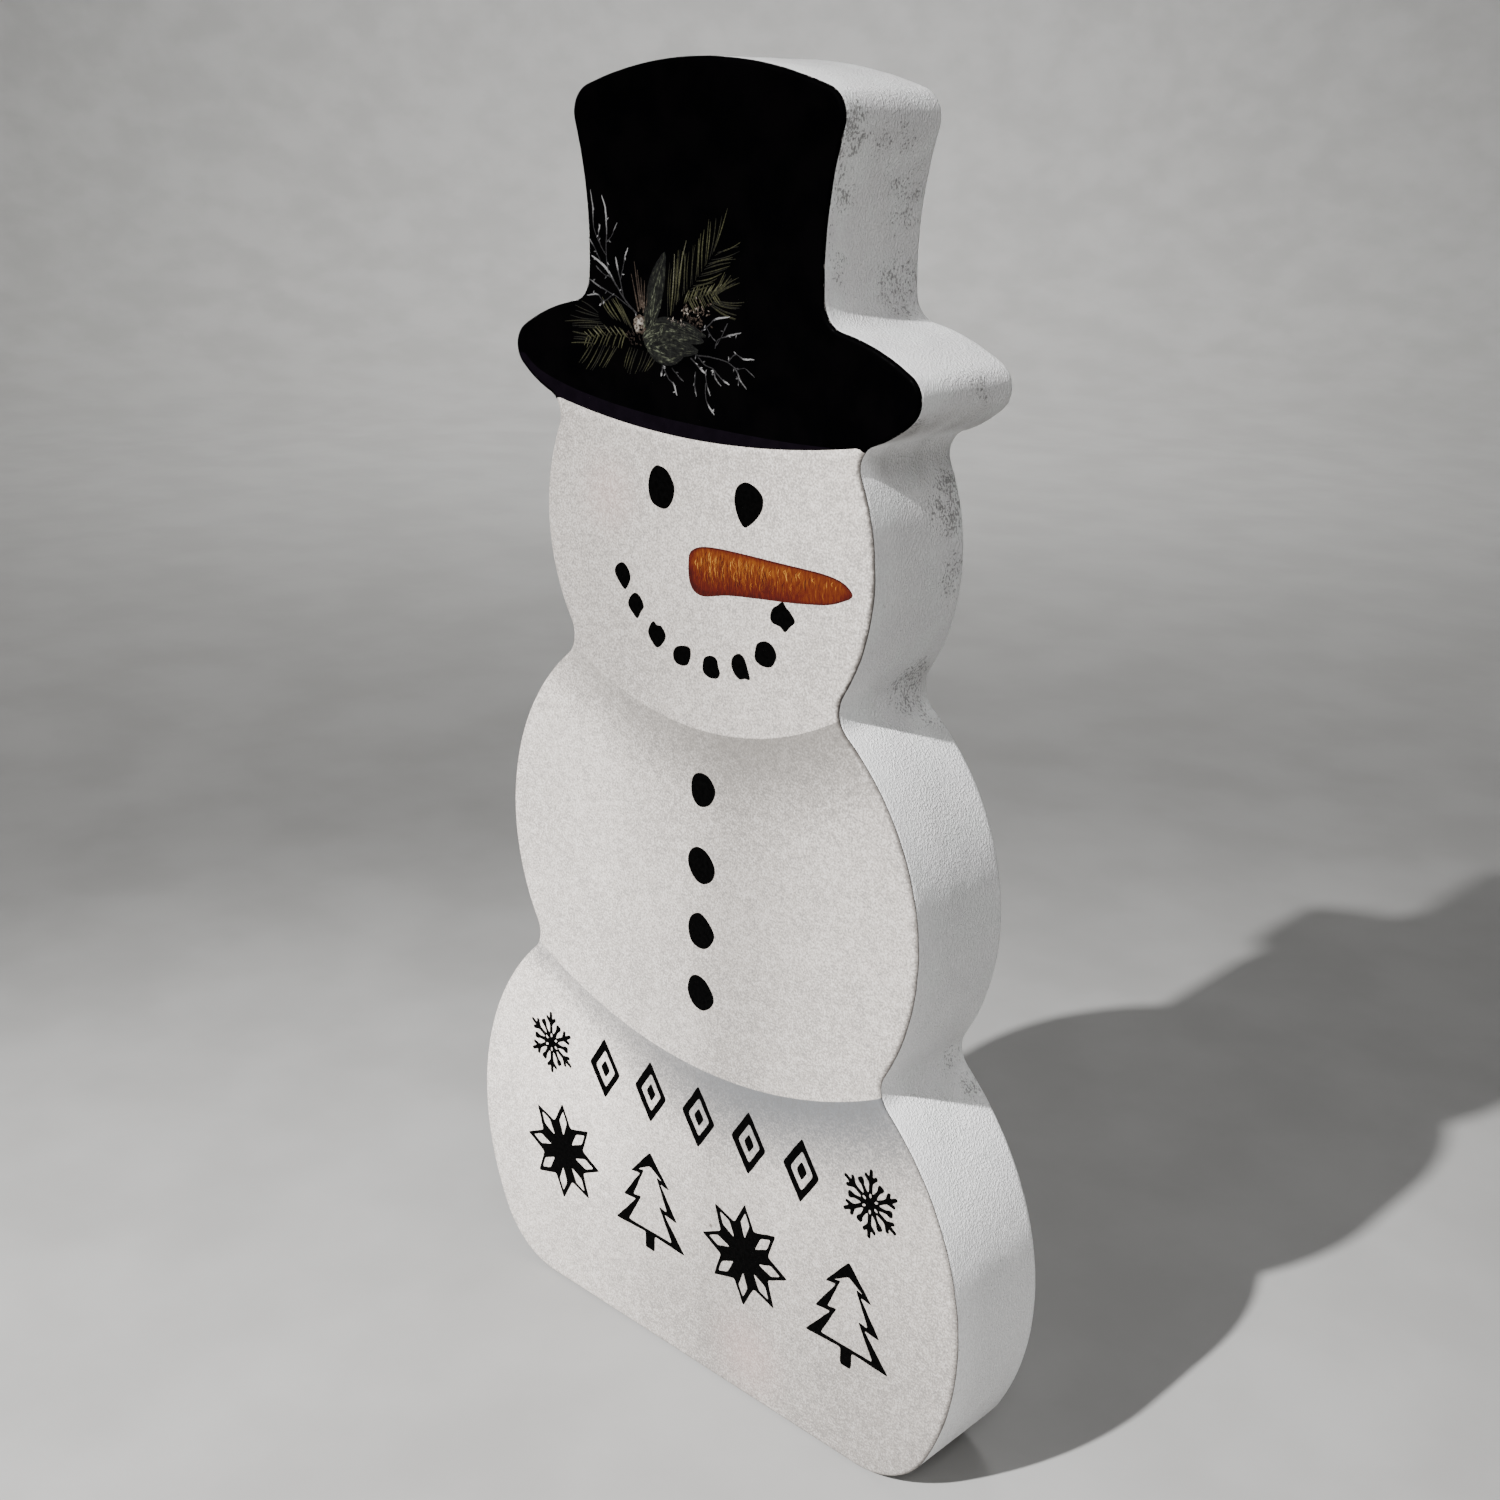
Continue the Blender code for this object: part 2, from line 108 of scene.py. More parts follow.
# The outline's circles and the corners that ease them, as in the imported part.
Lobe = namedtuple("Lobe", "x z radius wood")
Corner = namedtuple("Corner", "radius wood x z")
LOBES = (
    Lobe(0, HEIGHT - 120, 120, 1), Lobe(124.5, 288.5, 88, -1), Lobe(32, 220.5, 56.5, 1),
    Lobe(41.5, 282.5, 30.5, 1), Lobe(2, 225, 51, 1), Lobe(8, 141, 61.5, 1), Lobe(11.5, 47, 75, 1),
)
CORNERS = (
    Corner(6.5, 1, 44, 319), Corner(6.5, -1, 41, 275), Corner(6, 1, 66, 262), Corner(5.5, -1, 51, 248),
    Corner(7, -1, 47, 190), Corner(7, -1, 63, 104),
)
BASE_CORNER_RADIUS = 23.5

# Edges inside the face: arcs that sag below their two ends.
Sag = namedtuple("Sag", "half_width ends_z lowest_z")
BRIM_EDGE = Sag(51.6, 253.7, 248.5)
CHIN_EDGE = Sag(43, 191.5, 179.9)
BELLY_EDGE = Sag(60, 104.5, 89.5)

Station = namedtuple("Station", "x z out_x out_z")


# ---- Flat geometry


def arc_stations(centre, radius, wood, start, end):
    """Stations along the shorter arc from start up to, but not including, end."""
    first = atan2(start[1] - centre[1], start[0] - centre[0])
    last = atan2(end[1] - centre[1], end[0] - centre[0])
    turn = (last - first + pi) % (2 * pi) - pi
    steps = max(2, ceil(abs(turn) * radius / OUTLINE_STEP))
    found = []
    for i in range(steps):
        angle = first + turn * i / steps
        c, s = cos(angle), sin(angle)
        found.append(Station(centre[0] + radius * c, centre[1] + radius * s, wood * c, wood * s))
    return found


def circle_crossing(one, one_radius, two, two_radius, near):
    """The crossing of two circles that is nearer to the point near."""
    gap = dist(one, two)
    along = (one_radius**2 - two_radius**2 + gap**2) / (2 * gap)
    aside = sqrt(one_radius**2 - along**2)
    ux, uz = (two[0] - one[0]) / gap, (two[1] - one[1]) / gap
    base = (one[0] + ux * along, one[1] + uz * along)
    both = [(base[0] - uz * s * aside, base[1] + ux * s * aside) for s in (1, -1)]
    return min(both, key=lambda point: dist(point, near))


def moved_in(station, inset):
    """x and z of a station moved inwards."""
    return station.x - station.out_x * inset, station.z - station.out_z * inset


def touch_point(centre, lobe):
    """Where a circle about centre touches the lobe."""
    reach = dist(centre, (lobe.x, lobe.z))
    dx, dz = (centre[0] - lobe.x) / reach, (centre[1] - lobe.z) / reach
    return (lobe.x + dx * lobe.radius, lobe.z + dz * lobe.radius)


def outline():
    """Stations all round the board, clockwise from the top of the crown."""
    half = []
    start = (0, HEIGHT)
    for one, two, corner in zip(LOBES, LOBES[1:], CORNERS):
        reach = [lobe.radius - lobe.wood * corner.wood * corner.radius for lobe in (one, two)]
        near = (corner.x, corner.z)
        centre = circle_crossing((one.x, one.z), reach[0], (two.x, two.z), reach[1], near)
        leave, join = touch_point(centre, one), touch_point(centre, two)
        half += arc_stations((one.x, one.z), one.radius, one.wood, start, leave)
        half += arc_stations(centre, corner.radius, corner.wood, leave, join)
        start = join
    base = LOBES[-1]
    reach = base.radius - BASE_CORNER_RADIUS
    centre = (base.x + sqrt(reach**2 - (BASE_CORNER_RADIUS - base.z) ** 2), BASE_CORNER_RADIUS)
    leave, foot = touch_point(centre, base), (centre[0], 0)
    half += arc_stations((base.x, base.z), base.radius, 1, start, leave)
    half += arc_stations(centre, BASE_CORNER_RADIUS, 1, leave, foot)
    steps = round(foot[0] / OUTLINE_STEP)
    half += [Station(foot[0] * (1 - i / steps), 0, 0, -1) for i in range(steps + 1)]
    left = [Station(-s.x, s.z, -s.out_x, s.out_z) for s in half[1:-1]]
    return half + left[::-1]


def sag_circle(sag):
    """Height of the centre, and radius, of the circle that a sagging edge follows."""
    drop = sag.ends_z - sag.lowest_z
    radius = (sag.half_width**2 + drop**2) / (2 * drop)
    return sag.lowest_z + radius, radius


def sag_height(sag, x):
    """Height of a sagging edge at x."""
    centre_z, radius = sag_circle(sag)
    return centre_z - sqrt(radius**2 - x**2)


def smooth_path(points, spans=5, closed=False):
    """Points of a smooth curve through the given ones: a Catmull-Rom spline."""
    count = len(points)
    found = []
    for i in range(count if closed else count - 1):
        places = [(i + k) % count if closed else min(max(i + k, 0), count - 1) for k in (-1, 0, 1, 2)]
        four = [points[place] for place in places]
        for step in range(spans):
            t = step / spans
            weights = (
                -0.5 * t + t**2 - 0.5 * t**3,
                1 - 2.5 * t**2 + 1.5 * t**3,
                0.5 * t + 2 * t**2 - 1.5 * t**3,
                -0.5 * t**2 + 0.5 * t**3,
            )
            found.append(tuple(sum(w * p[k] for w, p in zip(weights, four)) for k in (0, 1)))
    return found if closed else found + [tuple(points[-1])]


def subdivided(loop, step):
    """The loop with points added so that none of its edges is longer than the step."""
    found = []
    for a, b in zip(loop, loop[1:] + loop[:1]):
        pieces = max(1, ceil(dist(a, b) / step))
        for i in range(pieces):
            t = i / pieces
            found.append((a[0] + (b[0] - a[0]) * t, a[1] + (b[1] - a[1]) * t))
    return found


def inked(loop, rounds=3, wobble=0.1):
    """The loop as a brush would ink it: corners eased and edges slightly unsteady."""
    points = np.array(subdivided(loop, INKED_STEP))
    for _ in range(rounds):
        points = (np.roll(points, 1, 0) + 2 * points + np.roll(points, -1, 0)) / 4
    for point in points:
        place = Vector((point[0] / UNEVEN_SIZE, 3.7, point[1] / UNEVEN_SIZE))
        point[0] += wobble * noise.noise(place)
        point[1] += wobble * noise.noise(place + Vector((9, 9, 9)))
    return [tuple(point) for point in points]


def turned(points, angle, x, z):
    """Points turned about zero, then moved to x and z."""
    c, s = cos(angle), sin(angle)
    return [(x + px * c - pz * s, z + px * s + pz * c) for px, pz in points]


def mirrored(half):
    """A loop from its right half, listed from one end to the other."""
    return list(half) + [(-x, z) for x, z in reversed(half) if x > NEAR_ZERO]


def inside(points, loops):
    """For each point, whether it is in the area that the loops enclose, windows left out."""
    found = np.zeros(len(points), bool)
    for loop in loops:
        for (x1, z1), (x2, z2) in zip(loop, loop[1:] + loop[:1]):
            if z1 == z2:
                continue
            crossing = x1 + (points[:, 1] - z1) * (x2 - x1) / (z2 - z1)
            found ^= ((z1 > points[:, 1]) != (z2 > points[:, 1])) & (points[:, 0] < crossing)
    return found


def grid_inside(loops, spacing):
    """Points of a triangular grid inside the loops, clear of the loops' own points."""
    border = np.array([point for loop in loops for point in loop])
    low, high = border.min(0), border.max(0)
    xs = np.arange(low[0] + spacing / 2, high[0], spacing)
    zs = np.arange(low[1] + spacing / 2, high[1], spacing * TRIANGLE_ROW)
    grid = [(x + (k % 2) * spacing / 2, z) for k, z in enumerate(zs) for x in xs]
    grid = np.array(grid).reshape(-1, 2)
    nearest = np.full(len(grid), np.inf)
    for point in border:
        nearest = np.minimum(nearest, np.hypot(*(grid - point).T))
    return grid[inside(grid, loops) & (nearest > spacing * CLEARANCE)]


def fill(loops, spacing):
    """Extra points on a grid inside the loops, and the triangles that join them to the loops' own."""
    flat = [point for loop in loops for point in loop]
    extra = grid_inside(loops, spacing)
    edges, first = [], 0
    for loop in loops:
        edges += [(first + i, first + (i + 1) % len(loop)) for i in range(len(loop))]
        first += len(loop)
    vertices = [Vector(point) for point in flat] + [Vector(point) for point in extra]
    made, _, faces, origins, _, _ = delaunay_2d_cdt(vertices, edges, [], 1, NEAR_ZERO)
    source = [min(origin) for origin in origins]
    centres = np.array([[sum(made[i][k] for i in face) / 3 for k in (0, 1)] for face in faces])
    keep = inside(centres, loops)
    triangles = []
    for face, kept in zip(faces, keep):
        a, b, c = (source[i] for i in face)
        turn = (made[face[1]] - made[face[0]]).cross(made[face[2]] - made[face[0]])
        if kept:
            triangles.append((a, b, c) if turn > 0 else (a, c, b))
    return [tuple(point) for point in extra], triangles


# ---- Pieces


def make_piece(name, points, faces, materials, attributes=None):
    """A smooth-shaded object from points in millimetres, with named values at its points."""
    mesh = bpy.data.meshes.new(name)
    mesh.from_pydata([(x * MM, y * MM, z * MM) for x, y, z in points], [], faces)
    for label, values in (attributes or {}).items():
        mesh.attributes.new(label, "FLOAT", "POINT").data.foreach_set("value", values)
    for material in materials:
        mesh.materials.append(material)
    mesh.shade_smooth()
    piece = bpy.data.objects.new(name, mesh)
    bpy.context.scene.collection.objects.link(piece)
    return piece


def stand_for(piece, slot, *nodes):
    """The piece rides with the whole object and hides the nodes. The slot is not used."""
    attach(piece, "root")
    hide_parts(*nodes)


def run_through(values, share):
    """The value at a share of the way through evenly spaced ones."""
    return np.interp(share, np.linspace(0, 1, len(values)), values)


class Relief:
    """Gathers thin raised marks of ink into one mesh. Each mark is closed and has its own tint."""

    def __init__(self):
        self.points = []
        self.faces = []
        self.tints = []

    def add(self, points, faces, tints):
        """One more mark, whose faces count its own points from 0."""
        first = len(self.points)
        self.points += points
        self.faces += [tuple(first + i for i in face) for face in faces]
        self.tints += tints

    def stroke(self, path, widths, tints, layer=0):
        """A line with a ridge along its middle; widths and tints run from its start to its end."""
        count = len(path)
        rise = INK_RISE + layer
        points, shades = [], []
        for i, (x, z) in enumerate(path):
            before, after = path[max(i - 1, 0)], path[min(i + 1, count - 1)]
            run, climb = after[0] - before[0], after[1] - before[1]
            length = hypot(run, climb) or 1
            along = i / (count - 1)
            half = run_through(widths, along) / 2
            ax, az = -climb / length * half, run / length * half
            points += [
                (x + ax, PAPER_FRONT - layer, z + az),
                (x, PAPER_FRONT - rise, z),
                (x - ax, PAPER_FRONT - layer, z - az),
                (x, PAPER_FRONT + INK_SINK, z),
            ]
            shades += [float(run_through(tints, along))] * 4
        faces = [(3, 2, 1, 0)]
        end = 4 * (count - 1)
        for first in range(0, end, 4):
            for k in range(4):
                one, two = first + k, first + (k + 1) % 4
                faces.append((one, two, two + 4, one + 4))
        faces.append((end, end + 1, end + 2, end + 3))
        self.add(points, faces, shades)

    def patch(self, loops, tint, spacing=0.9, rise=INK_RISE, layer=0):
        """A flat area; tint is a number or a function of x and z."""
        flat = [point for loop in loops for point in loop]
        extra, triangles = fill(loops, spacing)
        border = len(flat)
        flat += extra
        count = len(flat)
        rises = [EDGE_RISE_SHARE * rise] * border + [rise] * (count - border)
        points = [(x, PAPER_FRONT - layer - y, z) for (x, z), y in zip(flat, rises)]
        points += [(x, PAPER_FRONT + INK_SINK, z) for x, z in flat]
        faces = list(triangles) + [(c + count, b + count, a + count) for a, b, c in triangles]
        first = 0
        for loop in loops:
            ring = [first + i for i in range(len(loop))]
            area = sum(a[0] * b[1] - b[0] * a[1] for a, b in zip(loop, loop[1:] + loop[:1]))
            outer = first == 0
            for a, b in zip(ring, ring[1:] + ring[:1]):
                side = (b, a, a + count, b + count)
                faces.append(side if (area > 0) == outer else side[::-1])
            first += len(loop)
        shades = [tint(x, z) if callable(tint) else tint for x, z in flat]
        self.add(points, faces, shades * 2)

    def piece(self, name, material, slot, *nodes):
        """The gathered marks as one piece."""
        made = make_piece(name, self.points, self.faces, [material], {"tint": self.tints})
        made.data.set_sharp_from_angle(angle=CREASE)
        stand_for(made, slot, *nodes)


# ---- Materials


class Shader:
    """A node material under construction: each method adds nodes and returns an output socket."""

    def __init__(self, name):
        self.material = bpy.data.materials.new(name)
        self.material.use_nodes = True
        self.tree = self.material.node_tree
        self.surface = self.tree.nodes["Principled BSDF"]
        self.place = self.add("TexCoord").outputs["Object"]

    def add(self, kind, inputs=None, **settings):
        """A node of a kind; each input is a number, a colour or another node's output."""
        node = self.tree.nodes.new("ShaderNode" + kind)
        for name, value in settings.items():
            setattr(node, name, value)
        for key, value in (inputs or {}).items():
            self.put(value, node.inputs[key])
        return node

    def put(self, value, socket):
        """Gives a socket a number or a colour, or links it to another node's output."""
        if isinstance(value, bpy.types.NodeSocket):
            self.tree.links.new(value, socket)
        else:
            socket.default_value = value

    def noise(self, size, stretch=(1, 1, 1), detail=2, shift=0):
        """Noise about 0.5 whose grains are size millimetres across, times the stretch on each axis."""
        scale = [1 / (size * MM * s) for s in stretch]
        inputs = {"Vector": self.place, "Scale": scale, "Location": (shift,) * 3}
        moved = self.add("Mapping", inputs).outputs[0]
        inputs = {"Vector": moved, "Scale": 1, "Detail": detail}
        return self.add("TexNoise", inputs).outputs["Fac"]

    def axes(self):
        """x, y and z of each point, in metres."""
        return self.add("SeparateXYZ", {0: self.place}).outputs

    def attribute(self, name):
        return self.add("Attribute", attribute_name=name).outputs["Fac"]

    def math(self, operation, a, b=0, clamp=False):
        node = self.add("Math", {0: a, 1: b}, operation=operation, use_clamp=clamp)
        return node.outputs[0]

    def times(self, a, b):
        return self.math("MULTIPLY", a, b)

    def plus(self, a, b):
        return self.math("ADD", a, b)

    def span(self, value, low, high, to_low=0, to_high=1):
        """The value eased from one range to another and held at its ends, which may be sockets too."""
        inputs = {"Value": value, "From Min": low, "From Max": high, "To Min": to_low, "To Max": to_high}
        return self.add("MapRange", inputs, interpolation_type="SMOOTHSTEP").outputs[0]

    def mix(self, factor, a, b):
        """Colours a and b mixed; either may be a plain colour."""
        colours = [c if isinstance(c, bpy.types.NodeSocket) else (*c, 1) for c in (a, b)]
        inputs = {"Factor": factor, 6: colours[0], 7: colours[1]}
        return self.add("Mix", inputs, data_type="RGBA").outputs[2]

    def ramp(self, factor, *stops):
        """A colour for each factor, from stops of a position and a colour."""
        node = self.add("ValToRGB", {"Fac": factor})
        elements = node.color_ramp.elements
        for position, _ in stops[2:]:
            elements.new(position)
        for element, (position, colour) in zip(elements, stops):
            element.position = position
            element.color = (*colour, 1)
        return node.outputs[0]

    def near(self, point, radius, core=0):
        """1 at a point given in millimetres, falling to 0 at the radius."""
        inputs = {0: self.place, 1: [p * MM for p in point]}
        gap = self.add("VectorMath", inputs, operation="DISTANCE").outputs["Value"]
        return self.span(gap, core * radius * MM, radius * MM, 1, 0)

    def below_sag(self, sag):
        """How far below a sagging edge of the face a point is, in millimetres."""
        centre_z, radius = sag_circle(sag)
        flat = self.add("VectorMath", {0: self.place, 1: (1, 0, 1)}, operation="MULTIPLY")
        inputs = {0: flat.outputs[0], 1: (0, 0, centre_z * MM)}
        reach = self.add("VectorMath", inputs, operation="DISTANCE").outputs["Value"]
        return self.math("SUBTRACT", self.math("DIVIDE", reach, MM), radius)

    def finish(self, colour, roughness, height, relief, specular):
        """Sets the surface. relief is the height of the bumps in millimetres."""
        bumps = {"Height": height, "Distance": relief * MM, "Strength": 1}
        values = {
            "Base Color": colour,
            "Roughness": roughness,
            "Specular IOR Level": specular,
            "Normal": self.add("Bump", bumps).outputs[0],
        }
        for name, value in values.items():
            self.put(value, self.surface.inputs[name])
        return self.material


# Scuffed places on the board's painted edge: centre, radius and how dense the specks are.
SCUFFS = (
    (41.5, -14, 316, 11, 1), (40, 2, 313, 14, 0.6), (39, -14, 303, 12, 0.8), (37, 9, 302, 15, 0.6),
    (36.5, 8, 284, 13, 0.75), (37, -14, 289, 11, 0.55), (61, 4, 265, 7, 0.8), (61, -12, 257, 8, 0.9),
    (60, 6, 258, 8, 0.5), (51.5, 11, 238, 13, 1), (53, 13, 222, 11, 0.7), (45.5, 8, 196, 11, 0.95),
    (48, 13, 188, 8, 0.7), (62, 10, 106, 9, 0.6), (66, 12, 99, 7, 0.7), (-39, 4, 306, 16, 0.75),
    (-38, -9, 288, 12, 0.6), (-61, -4, 262, 10, 0.8), (-52, 9, 232, 14, 0.9), (-45, 5, 194, 10, 0.8),
    (-84, 6, 60, 15, 0.5), (12, -2, 329, 12, 0.35),
)
# Places of painted shade, mostly under the brim, and of painted light: centre, radius and strength.
PAINTED_SHADE_SPOTS = (
    (57.5, -12.5, 256.8, 9, 0.9), (59, -7, 257.5, 7, 0.55), (58, 3, 257, 7, 0.45), (57, 12, 257, 7, 0.36),
    (44, 13, 195, 9, 0.3), (52, 13, 186, 7, 0.3), (-56, 0, 255, 14, 0.5), (59, 0, 172, 18, 0.22),
)
PAINTED_LIGHT_SPOTS = ((48.5, -12, 250.3, 7, 0.7), (48.5, -2, 250.3, 8, 1), (48.5, 10, 250.3, 9, 1), (86, 0, 40, 60, 1))


def strongest(g, spots, core=0):
    """The strongest of several soft round spots at each point."""
    found = None
    for x, y, z, radius, amount in spots:
        spot = g.times(g.near((x, y, z), radius, core), amount)
        found = spot if found is None else g.math("MAXIMUM", found, spot)
    return found


def board_paint():
    """Brushed white paint with scuffs and fine dark specks, painted shade and a little painted light."""
    g = Shader("white_board_paint")
    place = g.axes()
    blotch = g.span(g.noise(14, detail=4), 0.3, 0.7)
    lower_paint = g.mix(blotch, (0.82, 0.815, 0.82), (0.87, 0.865, 0.86))
    shaded_top_paint = g.mix(blotch, (0.66, 0.65, 0.655), (0.74, 0.73, 0.725))
    # Painted shade: the paint turns darker towards the top.
    colour = g.mix(g.span(place[2], 0.08, 0.3), lower_paint, shaded_top_paint)
    cool = g.span(g.noise(9, detail=3, shift=13), 0.45, 0.65, 0, 0.6)
    colour = g.mix(cool, colour, (0.78, 0.8, 0.785))
    # Painted light: whiter spots in the hollow under the brim and on the base's side.
    colour = g.mix(strongest(g, PAINTED_LIGHT_SPOTS, 0.3), colour, (0.94, 0.935, 0.935))
    scuffed = strongest(g, SCUFFS, 0.25)
    patch = g.noise(4, detail=3, shift=5)
    smudge = g.times(g.span(patch, 0.4, 0.7, 0, 0.2), scuffed)
    colour = g.mix(smudge, colour, (0.34, 0.33, 0.325))
    # Painted shade: dark spots under the brim, at the neck and on the shoulder.
    colour = g.mix(strongest(g, PAINTED_SHADE_SPOTS), colour, (0.24, 0.225, 0.215))
    speck = g.noise(0.55, stretch=(1, 1, 1.3), shift=7)
    level = g.plus(speck, g.times(patch, 0.45))
    threshold = g.span(scuffed, 0, 1, 0.98, 0.72)
    specks = g.span(g.math("SUBTRACT", level, threshold), 0, 0.06, 0, 0.75)
    colour = g.mix(specks, colour, (0.13, 0.125, 0.12))
    stray = g.span(g.noise(0.6, shift=11), 0.63, 0.72, 0, 0.5)
    colour = g.mix(stray, colour, (0.36, 0.34, 0.33))
    pebble = g.noise(0.5, stretch=(1, 1, 1.3), shift=2)
    towards_rear = g.span(place[1], -13 * MM, -3 * MM, 0.35, 1)
    peel = g.times(g.span(pebble, 0.42, 0.66), towards_rear)
    # Painted shade: the pebbles' hollows are darker.
    colour = g.mix(g.span(pebble, 0.56, 0.38, 0, 0.3), colour, (0.46, 0.455, 0.455))
    height = g.plus(peel, g.times(g.noise(0.4, shift=4), 0.35))
    roughness = g.span(blotch, 0, 1, 0.3, 0.46)
    return g.finish(colour, roughness, height, relief=0.2, specular=0.5)


def paper_grain(g):
    """Fine mottling of the printed paper, about 0.5."""
    fine = g.noise(0.5, shift=1)
    coarse = g.noise(1.5, stretch=(1.3, 1, 1), shift=4)
    return g.plus(g.times(fine, 0.75), g.times(coarse, 0.25))


def drawn_shade(g, across, gap, sag, grain, shape):
    """Strength of a shadow drawn under a sagging edge; gap is the distance below it in millimetres.

    The shape gives its strength at the left and from the middle on, and how far down it reaches there.
    """
    faint, strong, reach_left, reach_right = shape
    edge = sag.half_width * MM
    amount = g.span(across, -edge, edge * 0.5, faint, strong)
    reach = g.span(across, -edge, edge * 0.3, reach_left, reach_right)
    uneven = g.plus(gap, g.span(grain, 0.35, 0.65, -1.6, 1.6))
    fade = g.span(uneven, 1, reach, 1, 0)
    return g.times(g.times(fade, amount), g.span(gap, -0.15, 0.15))


# How light the snow is from left to right, in the head, the torso and the base: x and amount.
HEAD_TONE = ((-50, 0.53), (-25, 0.585), (5, 0.63), (45, 0.71))
TORSO_TONE = (
    (-65, 0.79), (-45, 0.75), (-35, 0.67), (-5, 0.61), (15, 0.475), (27, 0.475), (45, 0.56), (60, 0.61),
)
BASE_TONE = (
    (-76, 0.87), (-50, 0.8), (-35, 0.68), (-15, 0.6), (-3, 0.57), (8, 0.475), (25, 0.475), (42, 0.52),
    (75, 0.46),
)
TONE_WIDTH = 80


def ball_tone(g, under_chin, under_belly):
    """How light the snow is at each point, given how far it is below the chin and the belly."""
    across, _, height = g.axes()
    along = g.span(across, -TONE_WIDTH * MM, TONE_WIDTH * MM)
    tones = []
    for stops in (HEAD_TONE, TORSO_TONE, BASE_TONE):
        greys = [((x + TONE_WIDTH) / (2 * TONE_WIDTH), (amount,) * 3) for x, amount in stops]
        tones.append(g.ramp(along, *greys))
    # The head and the base are darker towards the bottom.
    head = g.times(tones[0], g.span(height, 0.19, 0.245, 0.91, 1.12))
    base = g.times(tones[2], g.span(height, 0.005, 0.075, 0.82, 1.13))

    def joined(gap, above, below):
        """The tone above a sagging edge, then the one below it."""
        inputs = {"Factor": g.span(gap, -0.2, 0.2), 2: above, 3: below}
        return g.add("Mix", inputs).outputs[0]

    return joined(under_belly, joined(under_chin, head, tones[1]), base)


# Where the drawn snow's cut edge is dirty: centre, radius and strength.
DIRTY_EDGES = (
    (50, -15, 224, 38, 0.9), (46, -15, 194, 14, 1), (62, -15, 172, 26, 0.7), (68, -15, 140, 40, 0.55),
    (80, -15, 62, 52, 0.3), (-56, -15, 190, 60, 0.5), (-80, -15, 60, 60, 0.3), (0, -15, 0, 70, 0.25),
)

# Reddish places and small dark blots on the drawn snow: x, z, radius and strength.
BLUSHES = ((-30, 232, 14, 0.22), (20, 13, 18, 0.22))
BLOTS = ((6.5, 45.5, 0.8, 0.75), (8, 50.5, 0.6, 0.3), (-40, 132, 0.5, 0.35))


def snow_paper():
    """Grey-white print with drawn shadows, a few blots and a dirty cut edge."""
    g = Shader("printed_snow_paper")
    across = g.axes()[0]
    under_chin, under_belly = g.below_sag(CHIN_EDGE), g.below_sag(BELLY_EDGE)
    grain = paper_grain(g)
    cloud = g.span(g.noise(24, detail=3, shift=6), 0.35, 0.65)
    colour = g.mix(cloud, (0.445, 0.405, 0.37), (0.505, 0.46, 0.42))
    colour = g.mix(g.span(grain, 0.5, 0.62, 0, 0.9), colour, (0.7, 0.655, 0.615))
    colour = g.mix(g.span(grain, 0.5, 0.37, 0, 0.7), colour, (0.24, 0.228, 0.22))
    speckle = g.span(g.noise(0.42, detail=1, shift=9), 0.6, 0.7, 0, 0.45)
    colour = g.mix(speckle, colour, (0.2, 0.192, 0.19))
    colour = g.mix(ball_tone(g, under_chin, under_belly), (0.02, 0.018, 0.016), colour)
    for x, z, radius, amount in BLUSHES:
        blush = g.times(g.near((x, PAPER_FRONT, z), radius), amount)
        colour = g.mix(blush, colour, (0.36, 0.22, 0.2))
    chin = drawn_shade(g, across, under_chin, CHIN_EDGE, grain, (0.52, 0.7, 20, 27))
    belly = drawn_shade(g, across, under_belly, BELLY_EDGE, grain, (0.5, 0.98, 12, 28))
    colour = g.mix(chin, colour, (0.095, 0.088, 0.08))
    colour = g.mix(belly, colour, (0.084, 0.086, 0.09))
    mottle = g.span(g.noise(0.9, detail=3, shift=15), 0.46, 0.64, 0, 0.32)
    colour = g.mix(g.times(mottle, g.math("MAXIMUM", chin, belly)), colour, (0.07, 0.066, 0.062))
    for x, z, radius, amount in BLOTS:
        speck = g.times(g.near((x, PAPER_FRONT, z), radius, 0.4), amount)
        colour = g.mix(speck, colour, (0.05, 0.04, 0.035))
    uneven = g.span(g.noise(1.3, detail=3, shift=8), 0.3, 0.7, -0.16, 0.16)
    edge = g.plus(g.attribute("edge"), uneven)
    soot = g.times(g.span(edge, 0.2, 0.85), strongest(g, DIRTY_EDGES, 0.55))
    colour = g.mix(soot, colour, (0.06, 0.053, 0.048))
    return g.finish(colour, 0.78, grain, relief=0.06, specular=0.25)


def paper_cut(name, dark, light):
    """The raw edge of the paper, where it was sanded off."""
    g = Shader(name)
    colour = g.mix(g.noise(1.5, detail=3), dark, light)
    return g.finish(colour, 0.9, g.noise(0.4), relief=0.03, specular=0.1)


def hat_paper():
    """Black print, glossier in places near its edge and worn away at the cut."""
    g = Shader("printed_hat_paper")
    cloud = g.span(g.noise(9, detail=4, shift=2), 0.35, 0.65)
    colour = g.mix(cloud, (0.0002, 0.0002, 0.0003), (0.0006, 0.0005, 0.0006))
    edge = g.attribute("edge")
    worn = g.span(g.noise(0.7, stretch=(1, 1, 1.8), detail=3, shift=5), 0.6, 0.68, 0, 0.7)
    colour = g.mix(g.times(worn, g.span(edge, 0.75, 1)), colour, (0.4, 0.37, 0.35))
    glossy = g.span(g.noise(1.6, stretch=(1, 1, 1.6), detail=3, shift=9), 0.48, 0.62, 0, 0.33)
    roughness = g.math("SUBTRACT", 0.6, g.times(glossy, g.span(edge, 0.15, 0.4)))
    return g.finish(colour, roughness, paper_grain(g), relief=0.03, specular=0.006)


